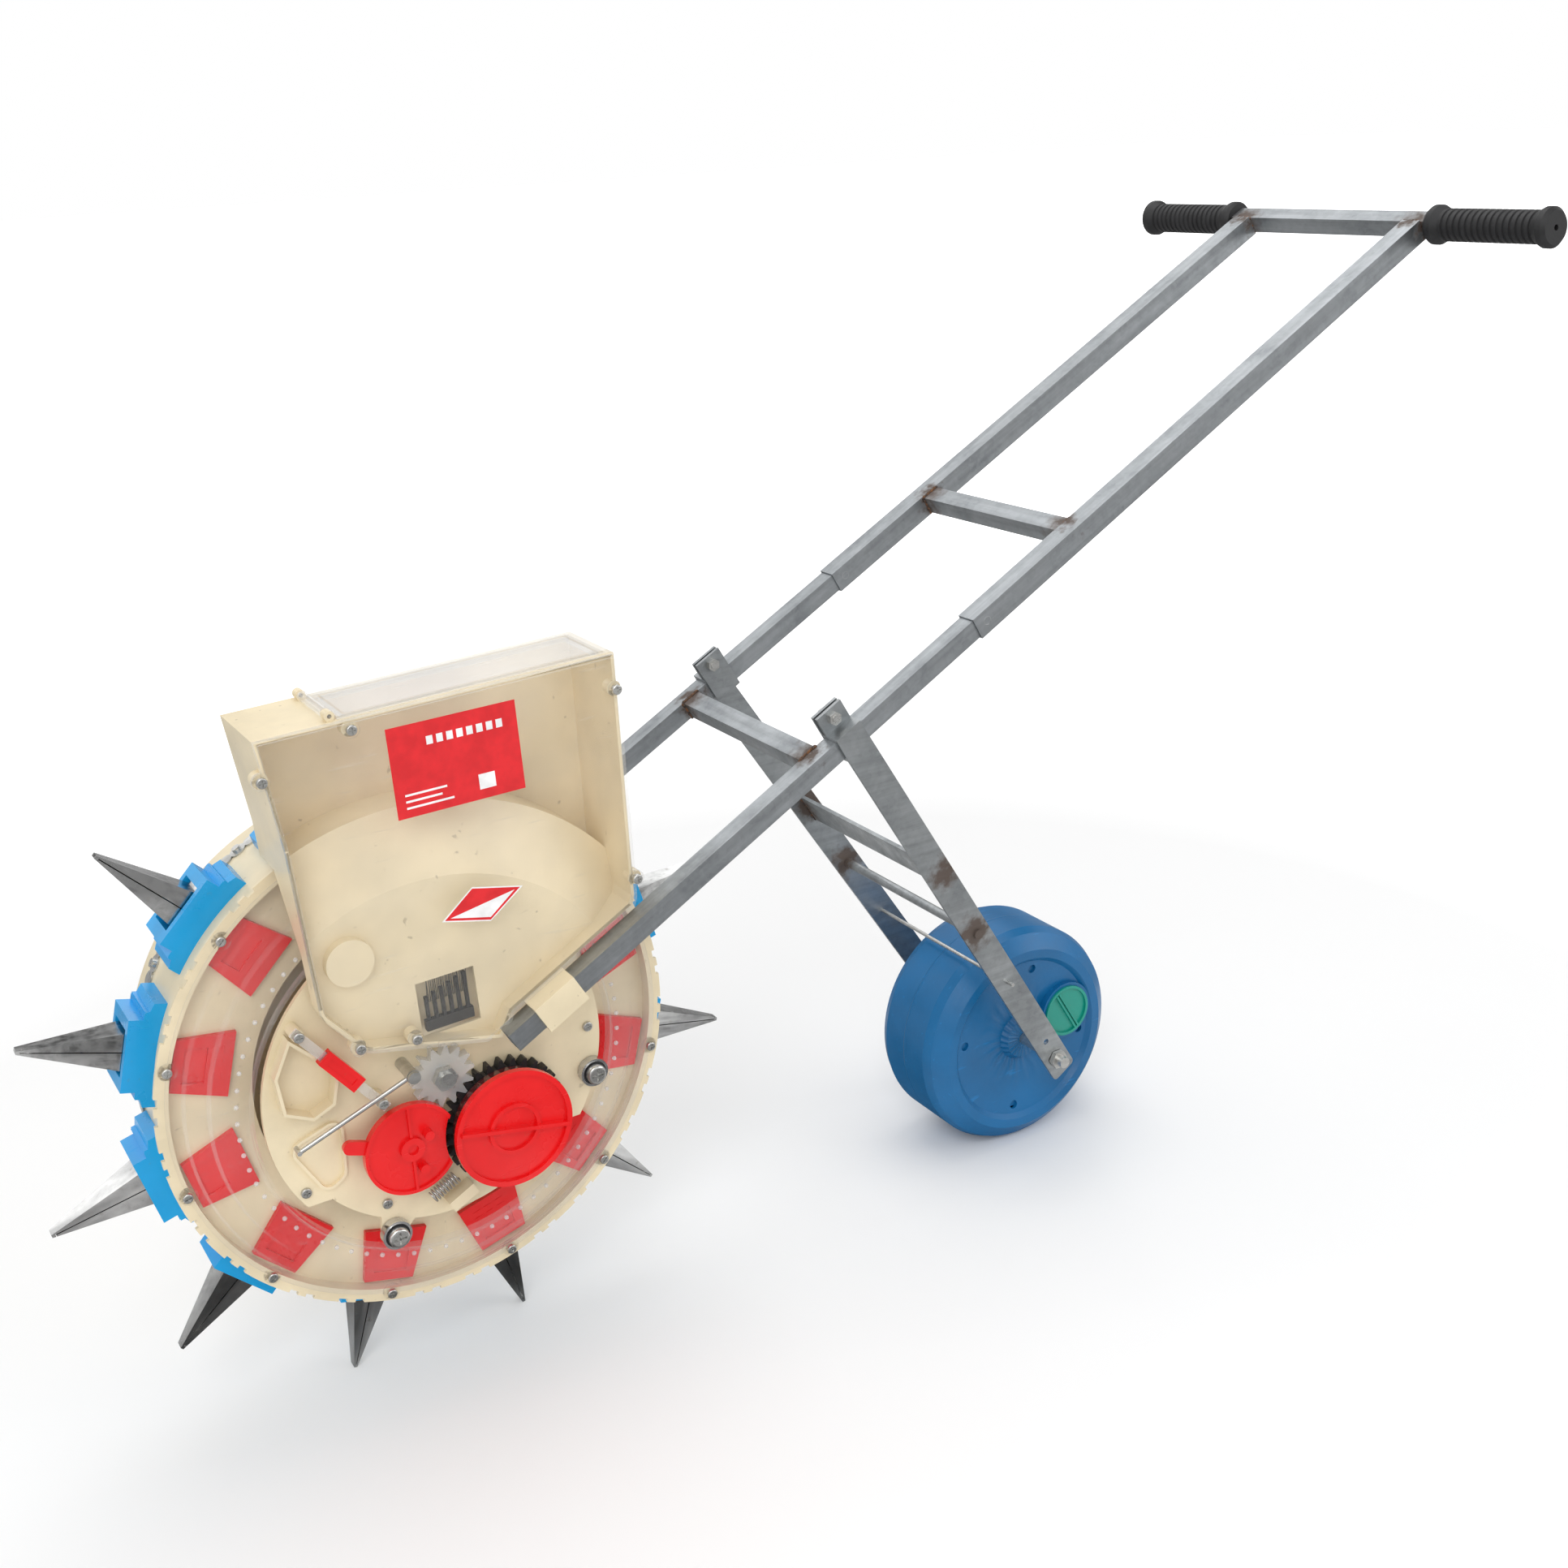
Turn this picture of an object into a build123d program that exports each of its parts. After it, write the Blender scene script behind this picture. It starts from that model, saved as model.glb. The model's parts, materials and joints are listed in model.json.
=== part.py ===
from build123d import *

import math
import os

# A hand-push seeder: a wheel with hollow steel beaks punches holes and drops seed into them from
# a side hopper, and a press roller closes the row.
#
# Everything is drawn about the wheel's axle, with +X from the wheel towards the handle, +Y away
# from the hopper side and +Z up. The finished pieces are then stood on the ground.

# ---- driving dimensions (mm, degrees) ------------------------------------------------------------

# wheel and beaks
BEAKS = 12
TIP_RADIUS = 275.0
TIP_HALF_WIDTH = 1.2
WHEEL_MID_Y = 4.0
BEAK_ROOT_RADIUS = 200.0
BEAK_ROOT_HALF_WIDTH = 15.0
BEAK_HALF_DEPTH = 13.0
BEAK_TIP_HALF_DEPTH = 4.0
BEAK_WALL = 1.2
BEAK_NOSE = 2.5
FLAP_PIN_RADIUS = 2.0
DRUM_RADIUS = 187.0
DRUM_WALL = 3.0
DRUM_NEAR_Y = -44.0
DRUM_FAR_Y = 52.0
DRUM_FLANGE = 7.0
DRUM_FLOOR_Y = -33.0
DRUM_FLOOR_INNER_RADIUS = 124.0
BACK_DISC_THICKNESS = 3.0
HOLDER_HALF_LENGTH = 38.0
HOLDER_HALF_DEPTH = 20.0
HOLDER_HEIGHT = 21.0
POCKET_THICKNESS = 4.0

# clear cover ring and the rollers that guide it
RING_WALL = 2.2
RING_LIP_RADIUS = 137.0
RING_LIP_NEAR_Y = -75.0
GUIDE_BEARING_RADIUS = 11.0
GUIDE_BEARING_WIDTH = 7.0
GUIDE_STUD_RADIUS = 4.0
GUIDE_ANGLES = (-17.5, -112.5, 118.0)

# still hub disc and the seed gate's strip
HUB_NEAR_Y = -70.0
HUB_THICKNESS = 4.0
HUB_RADIUS = 128.0
HUB_LOWER_RADIUS = 114.0
HUB_CUT = 72.0
HUB_SCREWS = ((118.0, -1.0), (-50.0, -90.0), (104.0, 34.0), (-106.0, -60.0))
SHAFT_RADIUS = 6.0
STRIP_STANDOFF = 16.0
STRIP_THICKNESS = 2.4
STRIP_WIDTH = 7.0
STRIP_SCREW_REACH = 42.9
LEVER_PIVOT = (-27.0, 16.0)
LEVER_END = (-112.0, -15.0)
LEVER_STANDOFF = 22.5
LEVER_RADIUS = 1.75
LEVER_POST_RADIUS = 2.5

# seed metering drive
GEAR_MODULE = 3.0
DRIVE_TEETH = 14
METERING_TEETH = 30
METERING_ANGLE = -48.9
GEAR_WIDTH = 8.0
HOUSING_RADIUS = 42.0
METERING_CAP_RADIUS = 45.5
METERING_CAP_NEAR_Y = -94.0

# frame
TUBE_TILT = 28.7
TUBE_PITCH = 201.6
LOWER_TUBE = 16.0
LOWER_TUBE_WALL = 1.5
UPPER_TUBE = 19.0
UPPER_TUBE_WALL = 1.3
NEAR_TUBE_START = 51.0
FAR_TUBE_START = -24.0
UPPER_TUBE_START = 526.0
TUBE_OVERLAP = 160.0
LOWER_CROSSBAR_AT = 358.0
MID_CROSSBAR_AT = 647.0
HANDLEBAR_AT = 1094.0
CROSSBAR = 16.0
GRIP_LENGTH = 122.0
GRIP_RADIUS = 14.0
GRIP_FLANGE_RADIUS = 17.0
GRIP_GAP = 116.0

# hopper
HOPPER_TILT = 2.1
HOPPER_TOP = 284.0
HOPPER_LEFT = -94.0
HOPPER_RIGHT = 165.0
HOPPER_NEAR_Y = -92.4
HOPPER_FAR_Y = -20.0
HOPPER_WALL = 2.5
HOPPER_COVER = 3.0
LID_HINGE_X = -41.0
LID_THICKNESS = 2.5
LID_BULGE = 14.0

# press roller and its arms
ROLLER_X = 555.6
ROLLER_RADIUS = 102.0
ROLLER_END_RADIUS = 90.0
ROLLER_HALF_WIDTH = 46.5
ROLLER_WALL = 3.0
ROLLER_AXLE_RADIUS = 5.0
CLAMP_AT = 389.0
CLAMP_LENGTH = 25.0
ARM_THICKNESS = 3.0
ARM_WIDTH = 25.0
ARM_FOOT_Y = 86.0

# clearances
RUNNING_FIT = 0.05
SLIDING_GAP = 0.2
MOVING_GAP = 0.4

# ---- sizes that follow ---------------------------------------------------------------------------

BEAK_PITCH = 360.0 / BEAKS
HALF_PITCH = math.radians(BEAK_PITCH / 2)
AXLE_HEIGHT = TIP_RADIUS * math.cos(HALF_PITCH) + TIP_HALF_WIDTH * math.sin(HALF_PITCH)
BEAK_ANGLES = [BEAK_PITCH / 2 + BEAK_PITCH * index for index in range(BEAKS)]
DRIVE_PITCH_RADIUS = GEAR_MODULE * DRIVE_TEETH / 2
METERING_PITCH_RADIUS = GEAR_MODULE * METERING_TEETH / 2
METERING_DISTANCE = DRIVE_PITCH_RADIUS + METERING_PITCH_RADIUS
METERING_X = METERING_DISTANCE * math.cos(math.radians(METERING_ANGLE))
METERING_Z = METERING_DISTANCE * math.sin(math.radians(METERING_ANGLE))
GEAR_FAR_Y = HUB_NEAR_Y - 1.0
GEAR_NEAR_Y = GEAR_FAR_Y - GEAR_WIDTH
HOUSING_FAR_Y = GEAR_NEAR_Y - 1.0
HOUSING_NEAR_Y = METERING_CAP_NEAR_Y + 3.0
RING_LIP_INNER_RADIUS = RING_LIP_RADIUS - RING_WALL
GUIDE_CENTRE_RADIUS = RING_LIP_INNER_RADIUS - GUIDE_BEARING_RADIUS - SLIDING_GAP
GUIDE_FAR_Y = HUB_NEAR_Y - 0.5
GUIDE_NEAR_Y = GUIDE_FAR_Y - GUIDE_BEARING_WIDTH
GUIDE_HEAD = 1.3 * GUIDE_STUD_RADIUS
HOLDER_INNER_RADIUS = DRUM_RADIUS
HOLDER_OUTER_RADIUS = DRUM_RADIUS + HOLDER_HEIGHT
SHELF_RADIUS = DRUM_RADIUS + DRUM_FLANGE
TUBE_Y = TUBE_PITCH / 2
HANDLE_HALF_WIDTH = GRIP_GAP + GRIP_LENGTH - 3.0
ROLLER_Z = ROLLER_RADIUS - AXLE_HEIGHT
ALONG_TUBE = Rotation(0, -TUBE_TILT, 0)
ALONG_HOPPER = Rotation(0, -HOPPER_TILT, 0)

parts = {}


# ---- helpers -------------------------------------------------------------------------------------


def slab(profile, near_y, far_y):
    """Extrudes a profile, drawn in X and Z, between two Y planes."""
    return extrude(Plane.XZ.offset(-far_y) * profile, amount=far_y - near_y)


def outline(points):
    """A closed face through points of X and Z."""
    return make_face(Polyline(*points, close=True))


def turned(points):
    """Turns a closed outline of (radius, y) points about the wheel's axle."""
    return revolve(make_face(Polyline(*points, close=True)), Axis.Y)


def disc(x, z, radius, near_y, far_y):
    """A cylinder along Y."""
    return slab(Pos(x, z) * Circle(radius), near_y, far_y)


def at_angle(angle, shape):
    """Turns a shape drawn on +X about the axle, towards +Z."""
    return Rotation(0, -angle, 0) * shape


def around_wheel(shape):
    """One copy of a shape for each beak."""
    return [at_angle(angle, shape) for angle in BEAK_ANGLES]


def polar(radius, angle):
    """X and Z of a point about the axle."""
    return radius * math.cos(math.radians(angle)), radius * math.sin(math.radians(angle))


def square_tube(length, size, wall, y, start):
    """A square tube along the frame's slope, from a distance along it."""
    place = ALONG_TUBE * Pos(start + length / 2, y, 0)
    return place * (Box(length, size, size) - Box(length + 2, size - 2 * wall, size - 2 * wall))


def gear_profile(teeth, turn):
    """A spur gear's outline with straight 20-degree flanks; one tooth centre is at `turn` degrees."""
    pitch_radius = GEAR_MODULE * teeth / 2
    root = pitch_radius - 1.25 * GEAR_MODULE
    tip = pitch_radius + 0.9 * GEAR_MODULE
    half_pitch_width = 0.42 * math.pi * GEAR_MODULE / 2
    points = []
    for tooth in range(teeth):
        centre = math.radians(turn) + 2 * math.pi * tooth / teeth
        for radius, side in ((root, -1), (tip, -1), (tip, 1), (root, 1)):
            width = half_pitch_width - (radius - pitch_radius) * math.tan(math.radians(20))
            angle = centre + side * width / radius
            points.append((radius * math.cos(angle), radius * math.sin(angle)))
    return outline(points)


def pan_screw(x, z, head_y, length, radius):
    """A pan-head screw along Y whose head faces the hopper side and seats at head_y."""
    head = disc(x, z, 1.9 * radius, head_y - 1.3 * radius, head_y)
    head = fillet(head.edges().sort_by(Axis.Y)[0], 0.5 * radius)
    cross = Rectangle(2.4 * radius, 0.45 * radius) + Rectangle(0.45 * radius, 2.4 * radius)
    head -= slab(Pos(x, z) * cross, head_y - 1.3 * radius, head_y - 0.7 * radius)
    if length > 0:
        head += disc(x, z, radius, head_y, head_y + length)
    return head


# ---- wheel ---------------------------------------------------------------------------------------


def wheel_drum():
    """The moulded drum: rim band, near flange and the floor that carries the seed pockets."""
    inner = DRUM_RADIUS - DRUM_WALL
    floor_far_y = DRUM_FLOOR_Y + DRUM_WALL
    drum = turned(
        [
            (DRUM_FLOOR_INNER_RADIUS, DRUM_FLOOR_Y),
            (inner, DRUM_FLOOR_Y),
            (inner, DRUM_NEAR_Y),
            (SHELF_RADIUS, DRUM_NEAR_Y),
            (SHELF_RADIUS, DRUM_NEAR_Y + DRUM_WALL),
            (DRUM_RADIUS, DRUM_NEAR_Y + DRUM_WALL),
            (DRUM_RADIUS, DRUM_FAR_Y),
            (inner, DRUM_FAR_Y),
            (inner, floor_far_y),
            (DRUM_FLOOR_INNER_RADIUS, floor_far_y),
        ]
    )
    seed_hole = Pos(DRUM_RADIUS - DRUM_WALL, WHEEL_MID_Y, 0) * Box(12, 18, 22)
    notch = Pos(SHELF_RADIUS, DRUM_NEAR_Y + DRUM_WALL / 2, 0) * Box(5, DRUM_WALL + 1, 7)
    drum -= around_wheel(seed_hole)
    for offset in (-11.0, -7.0, 7.0, 11.0):
        drum -= [at_angle(angle + offset, notch) for angle in BEAK_ANGLES]
    return drum


def back_disc():
    """The disc that closes the drum's far side and carries it on the shaft."""
    far_y = DRUM_FAR_Y + BACK_DISC_THICKNESS
    web = turned(
        [
            (SHAFT_RADIUS, DRUM_FAR_Y - 18),
            (22, DRUM_FAR_Y - 18),
            (24, DRUM_FAR_Y),
            (DRUM_RADIUS, DRUM_FAR_Y),
            (DRUM_RADIUS, far_y),
            (150, far_y),
            (144, far_y + 5),
            (60, far_y + 5),
            (54, far_y),
            (20, far_y),
            (18, far_y + 10),
            (SHAFT_RADIUS, far_y + 10),
        ]
    )
    rib = Pos(97, far_y + 4, 0) * Box(90, 6, 4)
    return web + [at_angle(60 * index, rib) for index in range(6)]


def cover_ring():
    """The clear ring over the drum's near side, stepped down to the lip that the bearings guide."""
    front = [
        (DRUM_RADIUS, DRUM_NEAR_Y - RING_WALL),
        (177, DRUM_NEAR_Y - RING_WALL - 4),
        (175, DRUM_NEAR_Y - RING_WALL - 8),
        (162, DRUM_NEAR_Y - RING_WALL - 11),
        (160, DRUM_NEAR_Y - RING_WALL - 16),
        (RING_LIP_RADIUS + 2.5, DRUM_NEAR_Y - RING_WALL - 21),
        (RING_LIP_RADIUS, DRUM_NEAR_Y - RING_WALL - 24),
        (RING_LIP_RADIUS, RING_LIP_NEAR_Y),
    ]
    back = [(radius - 0.4, y + RING_WALL) for radius, y in front[1:-2]]
    back += [(RING_LIP_INNER_RADIUS, DRUM_NEAR_Y - 22), (RING_LIP_INNER_RADIUS, RING_LIP_NEAR_Y)]
    ring = turned(front + back[::-1] + [(DRUM_RADIUS, DRUM_NEAR_Y)])
    ear = disc(DRUM_RADIUS - 1, 0, 6.5, DRUM_NEAR_Y - RING_WALL, DRUM_NEAR_Y)
    hole = disc(DRUM_RADIUS, 0, 2.0, DRUM_NEAR_Y - 10, DRUM_NEAR_Y + 10)
    seat = disc(DRUM_RADIUS, 0, 5.0, DRUM_NEAR_Y - 12, DRUM_NEAR_Y - RING_WALL)
    return ring + around_wheel(ear) - around_wheel(hole + seat)


def beak_holder():
    """A stepped block on the rim with a square mouth for one beak, drawn on +X."""
    seat = HOLDER_INNER_RADIUS - 5
    top = HOLDER_OUTER_RADIUS
    half = HOLDER_HALF_LENGTH
    mouth_wall = BEAK_ROOT_HALF_WIDTH + 2.5
    side = [
        (seat, half),
        (seat + 10, half),
        (seat + 12.5, half - 6),
        (seat + 16, half - 6),
        (seat + 16, mouth_wall + 9),
        (top, mouth_wall + 9),
    ]
    profile = outline(side + [(x, -z) for x, z in side[::-1]]) - Circle(HOLDER_INNER_RADIUS)
    block = slab(profile, WHEEL_MID_Y - HOLDER_HALF_DEPTH, WHEEL_MID_Y + HOLDER_HALF_DEPTH)
    mouth = Pos(top - 10, WHEEL_MID_Y, 0) * Box(40, 2 * BEAK_HALF_DEPTH + 3, 2 * mouth_wall)
    groove = Pos(seat + 17, WHEEL_MID_Y, 0) * Box(3, 2 * HOLDER_HALF_DEPTH + 2, 1.2)
    pin_x, pin_z = flap_pin()
    bore = disc(
        pin_x,
        pin_z,
        FLAP_PIN_RADIUS + RUNNING_FIT,
        WHEEL_MID_Y - HOLDER_HALF_DEPTH + 1.5,
        WHEEL_MID_Y + HOLDER_HALF_DEPTH - 1.5,
    )
    block -= [Pos(0, 0, z) * groove for z in (-31.5, 31.5)]
    return block - mouth - bore


def flap_pin():
    """X and Z of the pin that a flap swings on, drawn on +X."""
    return BEAK_ROOT_RADIUS + 3.0, BEAK_ROOT_HALF_WIDTH - 5.0


def beak_solid(root_radius, inset):
    """The beak as a solid pyramid with a blunt tip, made smaller all round by an inset."""
    reach = TIP_RADIUS - inset * 3
    length = reach - root_radius
    slope = (BEAK_ROOT_HALF_WIDTH - TIP_HALF_WIDTH) / (TIP_RADIUS - BEAK_ROOT_RADIUS)
    root_width = TIP_HALF_WIDTH + slope * (TIP_RADIUS - root_radius) - inset
    depth_slope = (BEAK_HALF_DEPTH - BEAK_TIP_HALF_DEPTH) / (TIP_RADIUS - BEAK_ROOT_RADIUS)
    root_depth = BEAK_TIP_HALF_DEPTH + depth_slope * (TIP_RADIUS - root_radius) - inset
    tip_width = max(TIP_HALF_WIDTH + slope * inset * 3 - inset, 0.3)
    tip_depth = BEAK_TIP_HALF_DEPTH + depth_slope * inset * 3 - inset
    root = Plane((root_radius, WHEEL_MID_Y, 0), x_dir=(0, 1, 0), z_dir=(1, 0, 0))
    return loft(
        [
            root * Rectangle(2 * root_depth, 2 * root_width),
            root.offset(length) * Rectangle(2 * tip_depth, 2 * tip_width),
        ]
    )


def half_space(root_radius, side):
    """Everything on one side of the plane that parts a beak's shell from its flap."""
    far = 2 * TIP_RADIUS
    return Pos(root_radius + far / 2, WHEEL_MID_Y, side * (far / 2 + MOVING_GAP)) * Box(far, far, far)


def beak_hollow():
    """The hollow inside a beak, open at its root."""
    return beak_solid(BEAK_ROOT_RADIUS - 1.0, BEAK_WALL)


def fixed_beak():
    """The fixed shell of a beak, its nose and the foot that seats it in the holder."""
    shell = (beak_solid(BEAK_ROOT_RADIUS, 0) - beak_hollow()) & half_space(BEAK_ROOT_RADIUS, -1)
    nose_start = TIP_RADIUS - BEAK_NOSE
    nose = beak_solid(BEAK_ROOT_RADIUS, 0) & half_space(nose_start, 1).moved(
        Location((0, 0, -MOVING_GAP - 1.4 * TIP_HALF_WIDTH))
    )
    foot_wall = BEAK_ROOT_HALF_WIDTH + 2.5
    foot = Pos(BEAK_ROOT_RADIUS - 2, WHEEL_MID_Y, -foot_wall + 2.2) * Box(14, 20, 4.4)
    return shell + nose + foot - beak_hollow()


def beak_flap():
    """The sprung half of a beak with its two pivot pins."""
    pin_x, pin_z = flap_pin()
    root = BEAK_ROOT_RADIUS - 2.0
    shell = beak_solid(root, 0) - beak_solid(root - 1.0, BEAK_WALL)
    shell &= half_space(root - 1.0, 1)
    shell -= Pos(TIP_RADIUS - BEAK_NOSE - MOVING_GAP + 10, WHEEL_MID_Y, 0) * Box(20, 20, 20)
    pin_reach = HOLDER_HALF_DEPTH - 2.0
    lug_reach = BEAK_HALF_DEPTH + 0.7
    pin = disc(pin_x, pin_z, FLAP_PIN_RADIUS, WHEEL_MID_Y - pin_reach, WHEEL_MID_Y + pin_reach)
    lug = disc(pin_x, pin_z, FLAP_PIN_RADIUS + 1.2, WHEEL_MID_Y - lug_reach, WHEEL_MID_Y + lug_reach)
    return shell + (lug + pin)


def seed_pocket():
    """A flat seed pocket on the drum's floor, drawn on +X."""
    face = outline([(140, -24), (140, 24), (181, 19), (181, -19)])
    pocket = slab(face, DRUM_FLOOR_Y - POCKET_THICKNESS, DRUM_FLOOR_Y)
    slot = Pos(166, DRUM_FLOOR_Y - POCKET_THICKNESS, 0) * Box(16, 4, 26)
    return pocket - slot


def rim_bracket():
    """A wavy stamped strip with a screw, on the rim between two holders, drawn on +X."""
    strip = Rectangle(3, 34)
    lobes = Circle(6.5)
    for z in (-11, 11):
        lobes += Pos(0, z) * Circle(5.5)
    plate = extrude(Plane((DRUM_RADIUS - 1, 34, 0), x_dir=(0, 1, 0), z_dir=(1, 0, 0)) * (strip + lobes), 2.2)
    screw = Pos(DRUM_RADIUS + 1.2, 34, 0) * Rotation(0, 90, 0) * Cylinder(3.2, 2.6, align=BASE)
    curve = disc(0, 0, DRUM_RADIUS, 0, 60)
    return plate + screw - curve


BASE = (Align.CENTER, Align.CENTER, Align.MIN)


def build_wheel():
    """Everything that turns with the wheel, and the beak flaps."""
    parts["wheel_drum"] = wheel_drum()
    parts["wheel_back_disc"] = back_disc()
    parts["cover_ring"] = cover_ring()
    head_y = DRUM_NEAR_Y - RING_WALL
    screw = pan_screw(DRUM_RADIUS, 0, head_y, RING_WALL, 1.9)
    parts["cover_ring_screws"] = Compound(children=around_wheel(screw))
    parts["beak_holders"] = Compound(children=around_wheel(beak_holder()))
    parts["fixed_beaks"] = Compound(children=around_wheel(fixed_beak()))
    parts["seed_pockets"] = Compound(children=around_wheel(seed_pocket()))
    bracket_angles = [angle + BEAK_PITCH / 2 for angle in BEAK_ANGLES]
    parts["rim_brackets"] = Compound(children=[at_angle(a, rim_bracket()) for a in bracket_angles])
    flap = beak_flap()
    for index, angle in enumerate(BEAK_ANGLES):
        parts[f"beak_flap_{index + 1:02d}"] = at_angle(angle, flap)
    near_end = GEAR_NEAR_Y - 9.0
    far_end = TUBE_Y - LOWER_TUBE / 2 - 1.0
    parts["wheel_shaft"] = disc(0, 0, SHAFT_RADIUS, near_end, far_end)
    gear = slab(gear_profile(DRIVE_TEETH, METERING_ANGLE), GEAR_NEAR_Y, GEAR_FAR_Y)
    parts["drive_gear"] = gear - disc(0, 0, SHAFT_RADIUS, GEAR_NEAR_Y - 1, GEAR_FAR_Y + 1)
    nut = slab(RegularPolygon(9.2, 6), GEAR_NEAR_Y - 6, GEAR_NEAR_Y)
    parts["shaft_nut"] = nut - disc(0, 0, SHAFT_RADIUS, GEAR_NEAR_Y - 7, GEAR_NEAR_Y + 1)


# ---- still hub, bearings and metering drive --------------------------------------------------------


def hub_disc():
    """The still disc inside the cover ring, with bearing ears, a chute and a raised rib."""
    far_y = HUB_NEAR_Y + HUB_THICKNESS
    lower = Pos(0, -HUB_RADIUS - HUB_CUT) * Rectangle(4 * HUB_RADIUS, 2 * HUB_RADIUS)
    plate = slab((Circle(HUB_RADIUS) - lower) + Circle(HUB_LOWER_RADIUS), HUB_NEAR_Y, far_y)
    for angle in GUIDE_ANGLES:
        x, z = polar(GUIDE_CENTRE_RADIUS, angle)
        inner_x, inner_z = polar(GUIDE_CENTRE_RADIUS - 22, angle)
        arm = make_hull((Pos(x, z) * Circle(9)).edges() + (Pos(inner_x, inner_z) * Circle(16)).edges())
        plate += slab(arm, HUB_NEAR_Y, far_y)
    chute = outline([(-106, 64), (-74, 31), (-80, 6), (-96, -1), (-116, 9), (-119, 38)])
    hollow = offset(chute, -2.2)
    plate += slab(chute, HUB_NEAR_Y - 12, far_y) - slab(hollow, HUB_NEAR_Y - 14, HUB_NEAR_Y)
    rib = fillet(outline([(-116, -22), (-74, -8), (-76, -56), (-92, -66)]).vertices(), 9)
    plate += slab(rib - offset(rib, -2.0), HUB_NEAR_Y - 3, far_y)
    plate += disc(0, 0, 16, HUB_NEAR_Y - 0.6, far_y + 12)
    metering_bore = SHAFT_RADIUS - 2 + RUNNING_FIT
    plate += disc(METERING_X, METERING_Z, 9, HUB_NEAR_Y, far_y + 8)
    plate -= disc(METERING_X, METERING_Z, metering_bore, HUB_NEAR_Y - 20, far_y + 20)
    return plate - disc(0, 0, SHAFT_RADIUS + RUNNING_FIT, HUB_NEAR_Y - 20, far_y + 40)


def make_hull(edges):
    """A flat face round a set of edges."""
    return make_face(make_hull_wire(edges))


def make_hull_wire(edges):
    """The tight outline round a set of edges."""
    return Wire.make_convex_hull(edges)


def metering_housing():
    """The round housing in front of the metering gear, held to the hub disc by a curved leg."""
    cup = disc(METERING_X, METERING_Z, HOUSING_RADIUS, HOUSING_NEAR_Y, HOUSING_FAR_Y)
    cup -= disc(METERING_X, METERING_Z, HOUSING_RADIUS - 2.5, HOUSING_NEAR_Y - 1, HOUSING_FAR_Y - 2.5)
    cup -= disc(METERING_X, METERING_Z, 6, HOUSING_NEAR_Y - 1, HOUSING_FAR_Y + 1)
    tip_radius = METERING_PITCH_RADIUS + GEAR_MODULE
    leg_far_y = HUB_NEAR_Y
    ring = Circle(tip_radius + 4.5) - Circle(tip_radius + 1.5)
    shelf = Circle(tip_radius + 4.5) - Circle(HOUSING_RADIUS - 1)
    side = outline([(0, 0), (90, -25), (90, -90), (-25, -90)])
    leg = slab(Pos(METERING_X, METERING_Z) * (ring & side), HOUSING_FAR_Y - 2.5, leg_far_y)
    leg += slab(Pos(METERING_X, METERING_Z) * (shelf & side), HOUSING_FAR_Y - 2.5, HOUSING_FAR_Y)
    hub = HUB_LOWER_RADIUS - 1
    return cup + (leg & disc(0, 0, hub, HOUSING_NEAR_Y, leg_far_y))


def metering_cap():
    """The red cap on the housing with a raised rim and a finger bar."""
    near_y = METERING_CAP_NEAR_Y
    cap = disc(METERING_X, METERING_Z, METERING_CAP_RADIUS, near_y, near_y + 3 - MOVING_GAP)
    rim = Circle(METERING_CAP_RADIUS) - Circle(METERING_CAP_RADIUS - 4)
    centre = Circle(20) - Circle(17)
    place = Pos(METERING_X, METERING_Z)
    bar = Rot(0, 0, -12) * Rectangle(2 * METERING_CAP_RADIUS - 6, 3.0)
    cap += slab(place * (rim + centre), near_y - 2.5, near_y)
    cap += slab(place * bar, near_y - 5, near_y)
    spigot = Circle(HOUSING_RADIUS - 2.5 - RUNNING_FIT) - Circle(HOUSING_RADIUS - 5)
    return cap + slab(place * spigot, near_y, near_y + 6)


def metering_gear():
    """The gear that the wheel drives, phased so that a gap faces the drive gear's tooth."""
    turn = METERING_ANGLE + 180 + 180 / METERING_TEETH
    gear = slab(gear_profile(METERING_TEETH, turn), GEAR_NEAR_Y, GEAR_FAR_Y)
    gear = Pos(METERING_X, 0, METERING_Z) * gear
    shaft = disc(METERING_X, METERING_Z, SHAFT_RADIUS - 2, HOUSING_NEAR_Y + 1, HUB_NEAR_Y + 8)
    return gear + shaft


def seed_roller():
    """The roller whose cells pick up seed inside the housing."""
    near_y = HOUSING_NEAR_Y + 1
    far_y = HOUSING_FAR_Y - 3
    roller = disc(METERING_X, METERING_Z, 34, near_y + 2.5, far_y)
    roller -= disc(METERING_X, METERING_Z, SHAFT_RADIUS - 2, near_y - 1, far_y + 1)
    for cell in range(8):
        x, z = polar(34, 45 * cell)
        roller -= disc(METERING_X + x, METERING_Z + z, 5, near_y, far_y + 1)
    return roller


def guide_bearing(angle):
    """A bearing that the cover ring's lip runs on."""
    x, z = polar(GUIDE_CENTRE_RADIUS, angle)
    ring = disc(x, z, GUIDE_BEARING_RADIUS, GUIDE_NEAR_Y, GUIDE_FAR_Y)
    groove = disc(x, z, 9.2, GUIDE_NEAR_Y - 1, GUIDE_NEAR_Y + 0.8) - disc(x, z, 6.8, GUIDE_NEAR_Y - 1, GUIDE_FAR_Y)
    return ring - groove - disc(x, z, GUIDE_STUD_RADIUS + RUNNING_FIT, GUIDE_NEAR_Y - 1, GUIDE_FAR_Y + 1)


def guide_stud(angle):
    """The shouldered screw that a guide bearing turns on."""
    x, z = polar(GUIDE_CENTRE_RADIUS, angle)
    head_y = GUIDE_NEAR_Y - 0.3
    return pan_screw(x, z, head_y, HUB_NEAR_Y - head_y, GUIDE_STUD_RADIUS)


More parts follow.
